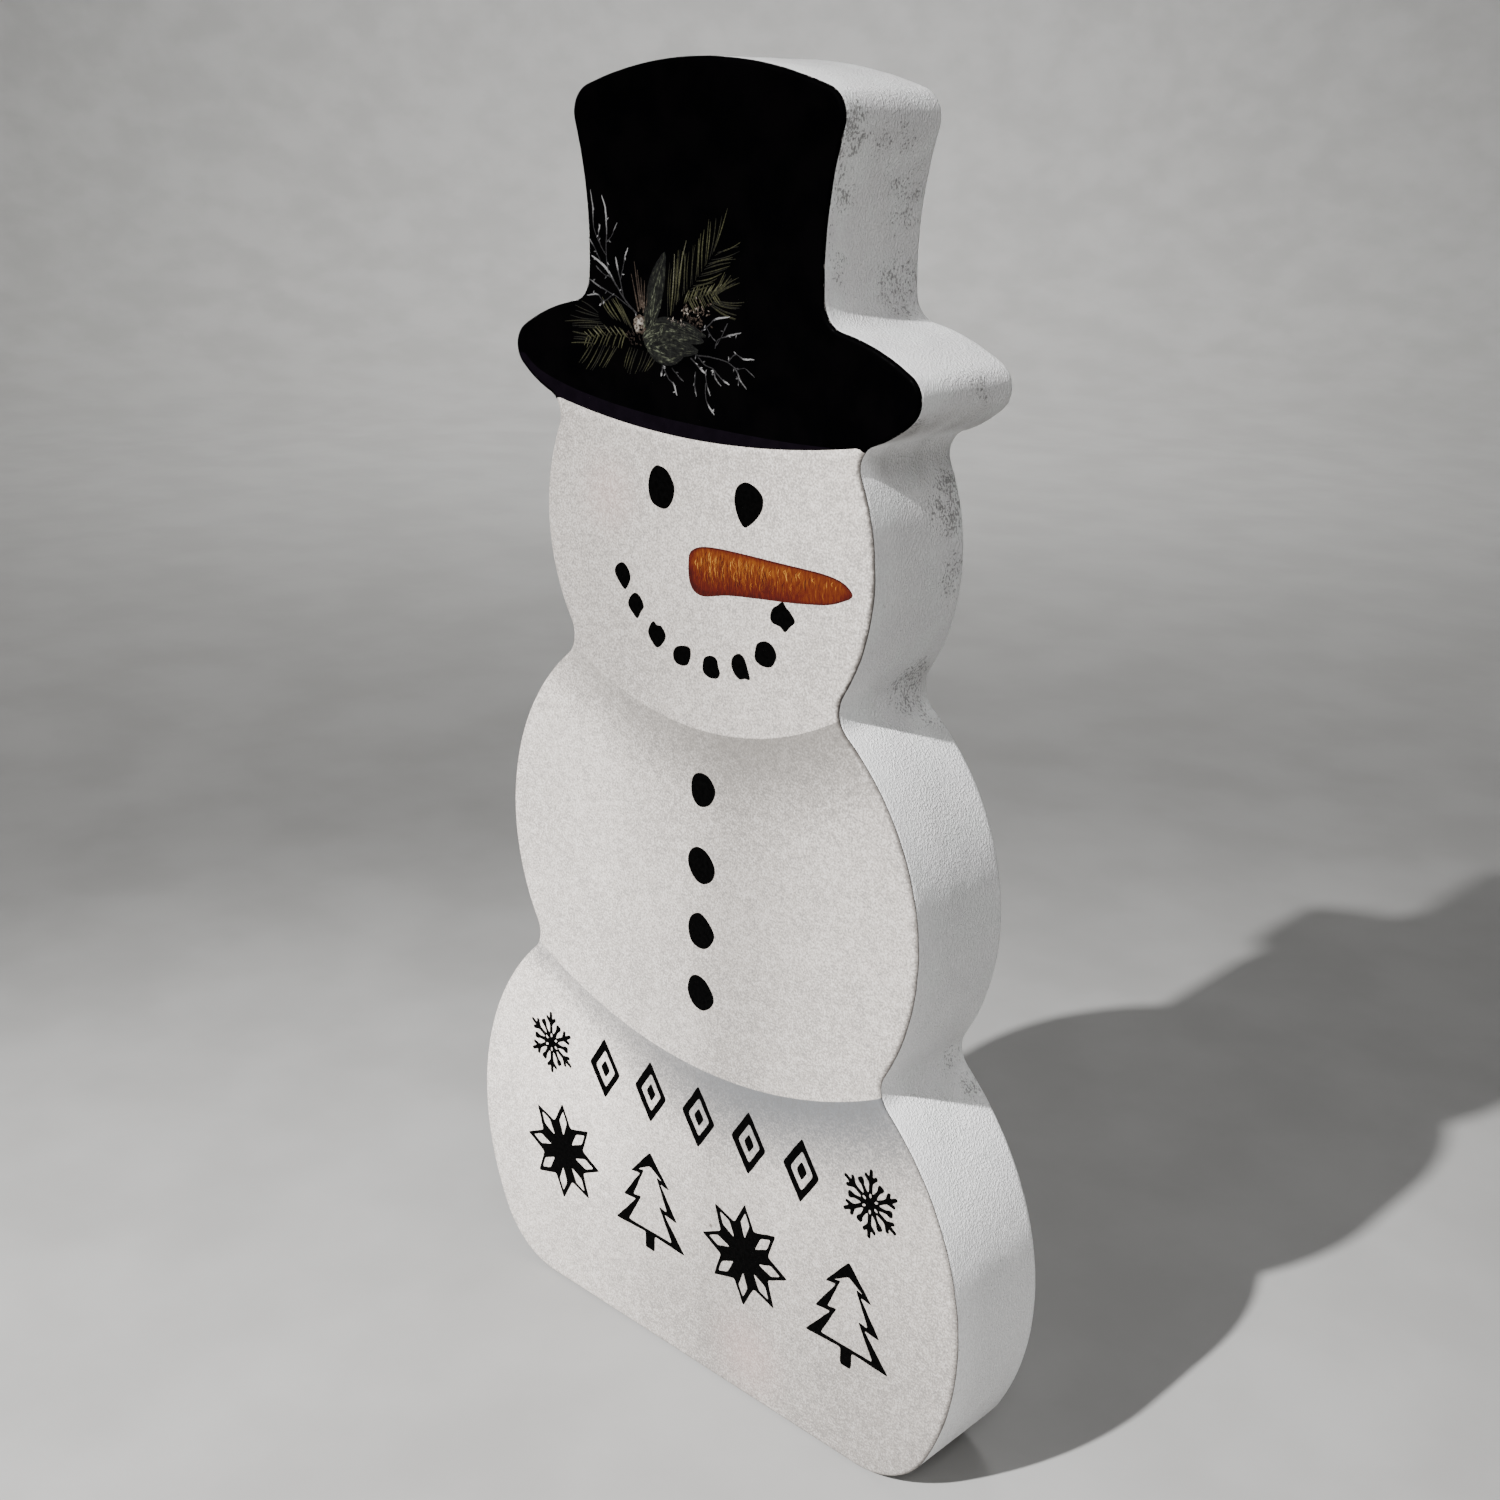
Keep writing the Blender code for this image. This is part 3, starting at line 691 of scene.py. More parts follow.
# A printed ink: the size and the strength of its mottling, its gloss, and its colours along the tint.
Ink = namedtuple("Ink", "grain variety roughness specular stops stretch", defaults=[(1, 1, 1)])
INKS = {
    "black_ink": Ink(1, 0.15, 0.55, 0.01, ((0, (0.0002, 0.0002, 0.0002)), (1, (0.0022, 0.002, 0.002)))),
    "plum_black_ink": Ink(
        3, 0.15, 0.6, 0.01,
        ((0, (0.0009, 0.0006, 0.0011)), (1, (0.003, 0.0019, 0.0036))),
    ),
    "carrot_ink": Ink(
        0.8, 0.12, 0.6, 0.1,
        ((0, (0.02, 0.0012, 0.0008)), (0.25, (0.046, 0.0034, 0.0009)), (0.5, (0.078, 0.015, 0.0016)),
         (0.75, (0.15, 0.05, 0.0045)), (1, (0.33, 0.16, 0.026))),
        (0.6, 1, 2.4),
    ),
    "pine_needle_ink": Ink(
        0.5, 0.14, 0.6, 0.1,
        ((0, (0.0007, 0.0007, 0.0005)), (0.3, (0.004, 0.0038, 0.0027)), (0.55, (0.013, 0.0128, 0.0058)),
         (0.8, (0.033, 0.033, 0.015)), (1, (0.062, 0.06, 0.04))),
    ),
    "frost_white_ink": Ink(
        0.5, 0.14, 0.6, 0.1,
        ((0, (0.002, 0.0018, 0.0021)), (0.45, (0.021, 0.0202, 0.021)), (1, (0.15, 0.148, 0.148))),
    ),
    "sage_leaf_ink": Ink(
        0.9, 0.2, 0.6, 0.1,
        ((0, (0.0006, 0.0006, 0.0006)), (0.45, (0.0052, 0.0056, 0.0046)), (0.75, (0.0175, 0.019, 0.0125)),
         (1, (0.052, 0.057, 0.038))),
    ),
    "cream_bud_ink": Ink(
        0.6, 0.16, 0.6, 0.1,
        ((0, (0.0036, 0.0019, 0.0012)), (0.4, (0.03, 0.021, 0.015)), (1, (0.26, 0.24, 0.21))),
    ),
}


def ink(name):
    """A printed ink: the tint at each point picks a colour, which a fine noise varies."""
    kind = INKS[name]
    g = Shader(name)
    mottle = g.noise(kind.grain, stretch=kind.stretch, detail=3)
    vary = g.span(mottle, 0.3, 0.7, -kind.variety, kind.variety)
    colour = g.ramp(g.math("ADD", g.attribute("tint"), vary, clamp=True), *kind.stops)
    return g.finish(colour, kind.roughness, paper_grain(g), relief=0.03, specular=kind.specular)


# ---- The board and the paper


def strip_faces(rows, columns):
    """Quads between consecutive closed rows of points, each row with the same number of columns."""
    faces = []
    for row in range(rows - 1):
        for i in range(columns):
            a, b = row * columns + i, row * columns + (i + 1) % columns
            faces.append((a, b, b + columns, a + columns))
    return faces


def board_profile():
    """Inset and depth of each row of the board's edge, from the front face to the rear face."""
    rounding = [radians(a) for a in (0, 15, 30, 45, 60, 75, 90)]
    front = [(ARRIS * (1 - sin(a)), BOARD_FRONT + ARRIS * (1 - cos(a))) for a in rounding]
    rear = [(ARRIS * (1 - sin(a)), REAR - ARRIS * (1 - cos(a))) for a in reversed(rounding)]
    flat = rear[0][1] - front[-1][1]
    steps = round(flat / DEPTH_STEP)
    side = [(0, front[-1][1] + flat * i / steps) for i in range(1, steps)]
    return front + side + rear


# Hollows of the painted surface: how wide their noise is and how deep they go.
PEBBLE_SIZE = (1.3, 1.3, 1.6)
PEBBLE_DEPTH = 0.07
WAVE_SIZE = 7
WAVE_DEPTH = 0.1


def press_in(mesh):
    """Presses the painted surface inwards by the small hollows of a brushed and sanded coat."""
    outward = [normal.vector.copy() for normal in mesh.vertex_normals]
    for vertex, normal in zip(mesh.vertices, outward):
        place = vertex.co / MM
        if normal.z < -0.95 and place.z < ARRIS:
            continue
        pebble = 0.5 + 0.5 * noise.noise(Vector([p / size for p, size in zip(place, PEBBLE_SIZE)]))
        wave = 0.5 + 0.5 * noise.noise(place / WAVE_SIZE + Vector((5, 1, 3)))
        depth = PEBBLE_DEPTH * min(max(pebble, 0), 1) + WAVE_DEPTH * min(max(wave, 0), 1)
        vertex.co = (place - normal * depth) * MM


def board(stations, paint):
    """The painted board, closed all round, with rounded edges at the front and the rear."""
    profile = board_profile()
    points = []
    for inset, depth in profile:
        for x, z in (moved_in(s, inset) for s in stations):
            points.append((x, depth, z))
    count = len(stations)
    faces = strip_faces(len(profile), count)
    front = [(x, z) for x, _, z in points[:count]]
    rear = len(points) - count
    faces += fill([front], NO_EXTRA)[1]
    extra, triangles = fill([front], SHEET_GRID)
    points += [(x, REAR, z) for x, z in extra]
    faces += [(rear + c, rear + b, rear + a) for a, b, c in triangles]
    piece = make_piece("painted_board", points, faces, [paint])
    press_in(piece.data)
    stand_for(piece, "board", "wood_block")


def rough_cut(s):
    """How far the paper's ragged cut strays at a station."""
    slow = noise.noise(Vector((s.x / 5, 2, s.z / 5)))
    return slow + 0.35 * noise.noise(Vector((s.x / 1.8, 7, s.z / 1.8)))


def sheet(name, stations, seam, reach, materials):
    """Part of the printed paper: flat over the face, then bent over the arris to the angle reach."""
    loop = [moved_in(s, ARRIS) for s in stations] + seam
    extra, triangles = fill([loop], SHEET_GRID)
    points = [(x, PAPER_FRONT, z) for x, z in loop + extra]
    edges = [0] * len(points)
    faces = list(triangles)
    count = len(stations)
    before = 0
    for row in range(1, PAPER_ROWS + 1):
        after = len(points)
        for s in stations:
            angle = (reach + RAGGED * rough_cut(s)) * row / PAPER_ROWS
            depth = PAPER_FRONT + (ARRIS + PAPER) * (1 - cos(angle))
            x, z = moved_in(s, ARRIS * (1 - sin(angle)))
            points.append((x, depth, z))
            edges.append(row / PAPER_ROWS)
        for i in range(count - 1):
            faces.append((before + i, before + i + 1, after + i + 1, after + i))
        before = after
    piece = make_piece(name, points, faces, materials, {"edge": edges})
    thick = piece.modifiers.new("paper", "SOLIDIFY")
    thick.thickness = PAPER * MM
    thick.offset = -1
    thick.material_offset_rim = 1
    return piece


def split_station(stations):
    """The first station, down the right side, whose place on the paper is below the brim's edge."""
    for i, s in enumerate(stations):
        x, z = moved_in(s, ARRIS)
        if z < BRIM_EDGE.ends_z + 2 and z < sag_height(BRIM_EDGE, x):
            return i
    return 0


def paper_face(stations):
    """The printed paper in its two areas, which meet along the brim's lower edge."""
    right = split_station(stations)
    left = len(stations) - right
    end_x = moved_in(stations[right], ARRIS)[0]
    xs = [end_x * (1 - 2 * i / SEAM_STEPS) for i in range(1, SEAM_STEPS)]
    seam = [(x, sag_height(BRIM_EDGE, x)) for x in xs]
    snow_cut = paper_cut("snow_paper_cut", (0.1, 0.09, 0.08), (0.22, 0.2, 0.18))
    hat_cut = paper_cut("hat_paper_cut", (0.004, 0.004, 0.004), (0.05, 0.046, 0.044))
    crown = stations[left:] + stations[: right + 1]
    body = stations[right : left + 1]
    hat = sheet("hat_paper", crown, seam, HAT_BEND, [hat_paper(), hat_cut])
    stand_for(hat, "black_ink", "hat_print")
    snow = sheet("snow_paper", body, seam[::-1], SNOW_BEND, [snow_paper(), snow_cut])
    stand_for(snow, "snow", "snow_print", "chin_shade_print", "belly_shade_print")


# ---- The inks of the face and the coat

# Outlines of single marks are given in the box of the CAD node they stand for, in percent of half its
# width and height from its middle, so that they keep its place and size.

EYES = {
    "eye_left": (
        (-18, 98), (47, 80), (93, 29), (100, -10), (84, -56), (45, -94), (-5, -100), (-64, -84), (-93, -44),
        (-98, 8), (-82, 56), (-55, 86),
    ),
    "eye_right": (
        (-8, 100), (49, 85), (92, 55), (100, 20), (86, -18), (49, -58), (2, -91), (-28, -100), (-60, -75),
        (-86, -33), (-98, 15), (-86, 63), (-50, 92),
    ),
}
COALS = (
    ((0, 100), (70, 66), (100, 0), (72, -60), (25, -100), (-48, -50), (-100, 12), (-80, 66)),
    ((-10, 100), (50, 82), (100, 12), (62, -42), (18, -100), (-42, -67), (-100, -5), (-70, 63)),
    ((-40, 100), (2, 76), (52, 75), (100, 12), (66, -56), (0, -100), (-62, -60), (-100, 0), (-84, 55)),
    ((45, 96), (98, 78), (100, 0), (64, -78), (-5, -100), (-78, -80), (-100, -5), (-58, 66)),
    ((0, 100), (62, 80), (82, 15), (100, -35), (70, -86), (-15, -100), (-82, -72), (-98, -20), (-78, 64)),
    ((-12, 100), (42, 70), (80, -10), (100, -80), (50, -86), (-14, -100), (-70, -62), (-100, 0), (-78, 66)),
    ((0, 100), (66, 74), (100, 10), (76, -62), (36, -96), (-38, -100), (-97, -66), (-100, 2), (-74, 70)),
    ((2, 136), (34, 98), (70, 66), (112, 0), (72, -52), (28, -104), (-16, -72), (-84, -54), (-104, -8),
     (-84, 62), (-42, 98)),
)
BUTTONS = (
    ((-10, 100), (55, 82), (100, 15), (56, -68), (-28, -100), (-86, -62), (-100, 15), (-74, 78)),
    ((-18, 100), (48, 80), (100, 12), (82, -58), (15, -100), (-50, -84), (-96, -24), (-98, 35), (-68, 80)),
    ((-18, 100), (44, 76), (98, 16), (92, -32), (46, -84), (-14, -100), (-74, -78), (-100, -12), (-82, 60)),
    ((-15, 100), (46, 78), (100, 4), (78, -58), (12, -100), (-58, -82), (-100, -18), (-92, 46), (-64, 86)),
)
CARROT = (
    (-99, 10), (-98, 47), (-94, 68), (-84, 87), (-66, 97), (-32, 99), (10, 97), (52, 96), (70, 93),
    (84, 84), (93, 68), (99, 44), (96, 27), (88, 10), (78, -8), (66, -21), (43, -36), (24, -46), (-5, -58),
    (-36, -72), (-52, -82), (-64, -94), (-79, -108), (-88, -104), (-94, -88), (-97.5, -60), (-99, -22),
)


def node_box(name):
    """Centre and half size, in x and z, of a CAD node."""
    low, high = (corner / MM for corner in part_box(name))
    centre = ((low.x + high.x) / 2, (low.z + high.z) / 2)
    return centre, ((high.x - low.x) / 2, (high.z - low.z) / 2)


def boxed(name, shape, spans=6):
    """A smooth loop through a shape given in percent of half the box of a CAD node."""
    centre, half = node_box(name)
    points = [(centre[0] + u / 100 * half[0], centre[1] + v / 100 * half[1]) for u, v in shape]
    return smooth_path(points, spans, closed=True)


def single_mark(name, loops, material):
    """A flat mark that stands for the CAD node of its name."""
    mark = Relief()
    mark.patch(loops, INK_TINT)
    mark.piece(name + "_ink", material, "black_ink", name)


def face_and_coat(black):
    """The eyes, the mouth's coals and the buttons."""
    for name, shape in EYES.items():
        single_mark(name, [boxed(name, shape)], black)
    for stem, shapes in (("mouth_coal", COALS), ("coat_button", BUTTONS)):
        for i, shape in enumerate(shapes, start=1):
            name = f"{stem}_{i}"
            single_mark(name, [boxed(name, shape)], black)


# The carrot, from its thick end at -1 to its tip at 1: its middle line and half height in shares of half
# the node's height, its tone from foot to top, and how much darker its ends are. Then its strokes and rim.
CARROT_MIDDLE = ((-1, -0.7, 0.5, 1), (-0.05, 0.02, 0.32, 0.42))
CARROT_HALF = ((-1, -0.8, 0.5, 0.85, 1), (0.6, 0.98, 0.65, 0.4, 0.1))
CARROT_TONE = ((-1, -0.8, -0.2, 0.3, 0.85, 1), (0.06, 0.2, 0.34, 0.52, 0.5, 0.25))
CARROT_ENDS = ((-1, -0.88, 0.85, 1), (0.32, 0, 0, 0.28))
CARROT_STROKES = 300
STROKE_TINTS = (-0.66, -0.5, -0.3, 0.22, 0.36, 0.52)
RIM_WIDTHS = (0.3, 0.42, 0.34, 0.44, 0.36, 0.3)
RIM_TINTS = (0.02, 0.1, 0, 0.12, 0.04, 0.02)


def carrot(material):
    """The nose: a shaded body, then many short strokes laid across it and a dark rim."""
    rng = random.Random(31)
    (centre_x, centre_z), (half_x, half_z) = node_box("carrot_nose")

    def middle(x):
        return centre_z + half_z * np.interp((x - centre_x) / half_x, *CARROT_MIDDLE)

    def half_height(x):
        return half_z * np.interp((x - centre_x) / half_x, *CARROT_HALF)

    def body_tint(x, z):
        """Darker at the top, the foot and both ends, and more even towards the tip."""
        along = (x - centre_x) / half_x
        tone = np.interp((z - middle(x)) / half_height(x), *CARROT_TONE)
        plain = np.interp(along, (0.2, 0.5), (0, 1))
        tone += plain * (0.42 - tone) * 0.6
        return float(tone - np.interp(along, *CARROT_ENDS))

    def stroke_across():
        x = centre_x + half_x * rng.triangular(-0.95, 0.95, -0.8)
        across = rng.uniform(-0.72, 0.62)
        tall = rng.uniform(0.3, 1)
        top, low = min(0.88, across + tall / 2), max(-0.88, across - tall / 2)
        lean = rng.uniform(0.1, 1)
        path = []
        for k in (0, 1, 2):
            z = middle(x) + half_height(x) * (top + (low - top) * k / 2)
            path.append((x + lean * (k - 1) ** 2, z))
        ground = body_tint(x, path[1][1])
        vivid = np.interp(across, (-0.9, 0.1), (0.35, 1)) * np.interp(x - centre_x, (5, 18), (1, 0.7))
        tint = ground + rng.choice(STROKE_TINTS) * vivid
        wide = rng.uniform(0.28, 0.68)
        mark.stroke(smooth_path(path, 3), (0.08, wide, wide, 0.08), (ground, tint, tint, ground), 0.008)

    mark = Relief()
    outline_path = boxed("carrot_nose", CARROT, spans=7)
    mark.patch([outline_path], body_tint, spacing=0.6)
    for _ in range(CARROT_STROKES):
        stroke_across()
    mark.stroke(outline_path + outline_path[:1], RIM_WIDTHS, RIM_TINTS, layer=0.012)
    mark.piece("carrot_nose_ink", material, "carrot_ink", "carrot_nose")


# A sixth of a snowflake: the right halves of an arm and of the short spoke beside it, and a small hole.
SNOWFLAKE_ARM = ((0.62, 2.7), (0.58, 5.5), (1.3, 6.3), (2.25, 7.2), (1.6, 8.05), (0.58, 7.1), (0.5, 9.4))
SNOWFLAKE_SPOKE = ((0.66, 2.9), (0.5, 4), (0.52, 5.2), (0.98, 5.7), (0.92, 6.9))
SNOWFLAKE_HOLE = ((0.36, 2.1), (0.22, 2.75), (-0.22, 2.75), (-0.36, 2.1), (-0.2, 1.55), (0.2, 1.55))


def snowflakes(black):
    """Two six-armed flakes."""
    for name in ("snowflake_left", "snowflake_right"):
        (x, z), _ = node_box(name)
        outer, holes = [], []
        for i in range(6):
            outer += turned(mirrored(SNOWFLAKE_ARM), i * pi / 3, x, z)
            outer += turned(mirrored(SNOWFLAKE_SPOKE), (i + 0.5) * pi / 3, x, z)
            holes.append(inked(turned(SNOWFLAKE_HOLE, i * pi / 3, x, z), rounds=1, wobble=0.03))
        loop = inked(outer, rounds=2, wobble=0.08)
        single_mark(name, [loop] + holes, black)


def diamonds(black):
    """Five diamonds, each a frame about a small filled one."""
    for i in range(1, 6):
        name = f"small_diamond_{i}"
        (x, z), (half_x, half_z) = node_box(name)
        corners = [(half_x, 0), (0, half_z), (-half_x, 0), (0, -half_z)]

        def diamond(share, shift=0.25):
            return inked(turned([(px * share + shift, pz * share) for px, pz in corners], 0, x, z))

        mark = Relief()
        mark.patch([diamond(1, shift=0), diamond(0.62)], INK_TINT)
        mark.patch([diamond(0.3)], INK_TINT)
        mark.piece(name + "_ink", black, "black_ink", name)


def stars(black):
    """Two eight-point stars with a window in each ray."""
    for i in (1, 2):
        name = f"eight_point_star_{i}"
        (x, z), (tip, _) = node_box(name)
        ray = [(0, 2.2), (3.1, 9.6), (0, tip), (-3.1, 9.6)]
        middle = sum(pz for _, pz in ray) / 4
        window = [(px * 0.5 + 0.18, middle + (pz - middle) * 0.58) for px, pz in ray]
        outer, windows = [], []
        for k in range(8):
            outer += turned([(0, tip), (3.35, 8.4)], -k * pi / 4, x, z)
            windows.append(inked(turned(window, k * pi / 4, x, z), rounds=2))
        single_mark(name, [inked(outer)] + windows, black)


def trees(black):
    """Two open pine trees of three tiers on a short trunk."""
    for i in (1, 2):
        name = f"pine_tree_{i}"
        (x, z), (widest, half_height) = node_box(name)
        foot, top = z - half_height, z + half_height
        trunk_half, trunk_height, droop = 1.8, 4.2, 0.6
        tier = (top - foot - trunk_height) / 3

        def right_side(scale, lift, peak):
            """The right edge of the three tiers, from the peak down."""
            points = [(0, peak)]
            for k, share in enumerate((0.556, 0.778, 1)):
                low = top - tier * (k + 1) + lift
                points.append((widest * share * scale, low))
                points.append((widest * share * scale * 0.52, low + droop))
            return points

        trunk = [(trunk_half, foot + trunk_height + droop), (trunk_half, foot)]
        outer = right_side(1, 0, top)[:-1] + trunk
        window = right_side(0.62, 1.6, top - 4.2)[:-1]
        loops = [inked([(x + px, pz) for px, pz in mirrored(half)]) for half in (outer, window)]
        single_mark(name, loops, black)


# The upper edge of the brim's turned band, from left to right.
BRIM_BAND_TOP = (
    (-60.6, 262.6), (-55, 259), (-45, 256.2), (-35, 254.5), (-25, 253.3), (-10, 252.2), (10, 251.7),
    (27, 251.6), (40, 252),
)


def brim_band(stations, plum):
    """The brim's turned edge, a shade lighter than the hat."""
    first = len(stations) - split_station(stations) + 1
    left = [s for s in stations[first:] if s.z < BRIM_BAND_TOP[0][1] - 0.5]
    border = [moved_in(s, ARRIS) for s in left]
    end_x = border[0][0] + 0.5
    xs = [end_x + (BRIM_BAND_TOP[-1][0] - end_x) * i / 80 for i in range(81)]
    low = [(x, sag_height(BRIM_EDGE, x) + 0.12) for x in xs]
    top = smooth_path(BRIM_BAND_TOP, 6)
    mark = Relief()
    mark.patch([border[::-1] + low + top[:0:-1]], 0.5, spacing=1.5, rise=0.015)
    mark.piece("brim_band_ink", plum, "plum_ink", "brim_shade_print")


# ---- The sprig on the hat

# A fan of needles: they spread from points along the stem to points along the line of their tips.
Fan = namedtuple("Fan", "roots tips count tint width")
PINES = {
    "pine_branch_upper": (
        Fan(((-10, 274.5), (-6, 278.8), (-2, 282.4), (2, 286.6), (5, 290.3)),
            ((-9.3, 286.2), (-5.8, 289.8), (-1, 291.8), (3, 296.8), (9.2, 299.2)), 18, 0.54, 0.29),
        Fan(((-9, 275), (-6, 279)), ((-8, 287.8), (-3, 292.8)), 4, 0.78, 0.38),
        Fan(((-3, 280.8), (0, 284), (3, 287.2), (6, 290)),
            ((4.5, 282.8), (8.6, 286.4), (12, 289.4), (14, 293)), 12, 0.46, 0.28),
    ),
    "pine_branch_right": (
        Fan(((3.2, 279.6), (5.5, 281.4)), ((14.2, 284.4), (8.2, 286.4)), 7, 0.44, 0.34),
        Fan(((4, 278.4), (5, 279.8)), ((11, 275.8), (15, 280.2)), 7, 0.4, 0.34),
        Fan(((-4.6, 278.2), (0, 279.6), (5.4, 281.4)), ((-3, 281.2), (2, 283.2), (7.8, 283.4)),
            11, 0.74, 0.36),
        Fan(((-3.6, 279.6), (0.4, 281.2), (5, 281.8)), ((-1.2, 276.8), (3, 277.8), (8, 279)),
            12, 0.62, 0.34),
    ),
    "pine_branch_left": (
        Fan(((-20.6, 270.8), (-24, 272.4), (-28, 273)), ((-25.6, 277.6), (-29.4, 278.2), (-33.4, 277.8)),
            7, 0.56, 0.4),
        Fan(((-28.5, 270.6), (-32, 272), (-33, 274)), ((-40, 270), (-45, 271.2), (-39.5, 276.8)),
            9, 0.34, 0.27),
        Fan(((-22.4, 269.2), (-29, 269.2), (-36, 267.6)), ((-24.6, 271.2), (-32, 271.4), (-38.8, 269.2)),
            10, 0.76, 0.34),
        Fan(((-23.4, 270.2), (-30, 270), (-37, 268.4)), ((-25, 266.4), (-32.6, 266), (-38.6, 265.6)),
            10, 0.7, 0.32),
        Fan(((-34.5, 266.6), (-36, 268.6)), ((-42.8, 265.9), (-42.2, 269)), 4, 0.38, 0.34),
        Fan(((-36, 266.8), (-31, 266.8), (-26, 267)), ((-41.4, 261.1), (-35.6, 260.6), (-30.4, 261.8)),
            8, 0.4, 0.27),
        Fan(((-22.5, 267.2), (-18, 266.8), (-12.6, 266.4)), ((-25, 261.4), (-21, 260.9), (-16.6, 262)),
            9, 0.4, 0.27),
    ),
}


def point_along(line, share):
    """The point at a share of the way along a line of points."""
    place = min(share, 0.9999) * (len(line) - 1)
    i, rest = int(place), place - int(place)
    return tuple(a + (b - a) * rest for a, b in zip(line[i], line[i + 1]))


def needles(mark, rng, fan):
    """The needles of a fan, evenly spread, each of its own length, bow and tint."""
    roots, tips = smooth_path(fan.roots, 6), smooth_path(fan.tips, 6)
    for i in range(fan.count):
        share = (i + rng.uniform(0.15, 0.85)) / fan.count
        x, z = point_along(roots, share)
        end_x, end_z = point_along(tips, share)
        reach = rng.uniform(0.82, 1.04)
        run, climb = (end_x - x) * reach, (end_z - z) * reach
        bow = rng.uniform(-0.05, 0.05)
        path = []
        for k in range(6):
            t = k / 5
            swing = bow * sin(pi * t)
            path.append((x + run * t - climb * swing, z + climb * t + run * swing))
        tint = fan.tint + rng.uniform(-0.16, 0.16)
        wide = fan.width * rng.uniform(0.75, 1.25)
        tints = (tint * 0.6, tint, tint + 0.08, max(0.1, tint + rng.uniform(-0.2, 0.12)))
        widths = (wide * 0.5, wide, wide * 0.85, wide * 0.4)
        mark.stroke(path, widths, tints, layer=rng.uniform(0.004, 0.02))


# Twigs as hand-drawn lines: points from root to tip, width at the root, and how frosted the tip is.
TWIGS = {
    "frosted_twig_left": (
        (((-19.8, 274.8), (-23.5, 277.4), (-26.6, 280.6), (-30, 284.2), (-35, 286.8)), 0.75, 0.95),
        (((-26, 280), (-29.3, 283.8), (-30, 288.5), (-29.8, 293), (-30.2, 297.6), (-31.4, 300.3)), 0.55, 1),
        (((-24.2, 277.9), (-25.2, 281.5), (-26.2, 284.6), (-26.8, 287)), 0.6, 0.9),
        (((-25.3, 281.8), (-24.4, 284.5), (-23.6, 287.4), (-22.6, 289.2)), 0.45, 1),
        (((-29.9, 287), (-32.2, 289.6), (-34.2, 293.2), (-34.4, 297.4), (-35.2, 301.4)), 0.45, 0.75),
        (((-32, 289.5), (-32.6, 291.6), (-32, 293.8)), 0.45, 0.95),
        (((-31.6, 285.1), (-33.8, 288.4), (-36, 290.8)), 0.4, 0.6),
        (((-29.9, 290), (-28.2, 291.4), (-27.2, 293), (-26.2, 294.6)), 0.35, 0.7),
        (((-28.2, 282.2), (-31.2, 283), (-33.6, 284.6)), 0.35, 0.5),
        (((-20.6, 275.4), (-26.5, 278.1), (-31.8, 279.8), (-36.2, 281.6)), 0.45, 0.6),
        (((-27.8, 278.6), (-31, 276.9), (-33.2, 278.2), (-36.8, 277.7)), 0.45, 0.8),
        (((-30.8, 277), (-32.6, 275.6)), 0.55, 1),
    ),
    "frosted_twig_right": (
        (((-0.5, 267.4), (4.5, 267.4), (9.6, 266.7), (12.2, 265.2), (13.2, 263.4), (15.2, 261.6)),
         0.5, 0.65),
        (((9.4, 266.8), (11.6, 268.7), (14.2, 268), (17.4, 268.2)), 0.45, 0.95),
        (((12, 265.4), (14.6, 266), (17.6, 264.4)), 0.3, 0.45),
        (((12.9, 264), (12.7, 262)), 0.35, 0.55),
        (((0.2, 267), (2.6, 265.4), (5, 264.9), (5.6, 263), (7.4, 261.4)), 0.45, 0.6),
        (((5.2, 264.7), (7.6, 263), (10, 262)), 0.5, 1),
        (((-2.2, 266.6), (0.2, 265), (2.5, 263.7)), 0.6, 1),
        (((2.4, 263.8), (3, 261.2), (4.1, 258.9)), 0.45, 0.75),
        (((2.6, 261.6), (2.6, 258.6), (3.6, 256.6), (5.3, 254.9)), 0.45, 1),
        (((-0.6, 263.8), (-0.9, 260.8), (-0.3, 258.2)), 0.45, 0.6),
        (((-11.2, 264), (-11.8, 261.6)), 0.7, 1),
        (((-11.2, 264), (-9.4, 261.4), (-7.6, 260.2), (-6.6, 257.8)), 0.5, 1),
        (((-8.3, 263.8), (-6.2, 262.2), (-4.4, 261.2)), 0.4, 0.45),
        (((1.2, 272.8), (3.6, 274.4), (5.6, 275.8), (9.9, 276.6)), 0.5, 0.9),
        (((5.4, 269.4), (6.4, 271.4), (9.4, 272.5), (13.4, 273.5)), 0.45, 0.75),
        (((6.2, 270.4), (7.8, 272.8), (9.2, 275.2)), 0.35, 0.4),
        (((2.6, 273.8), (4.2, 272), (5.6, 271)), 0.35, 0.4),
    ),
}

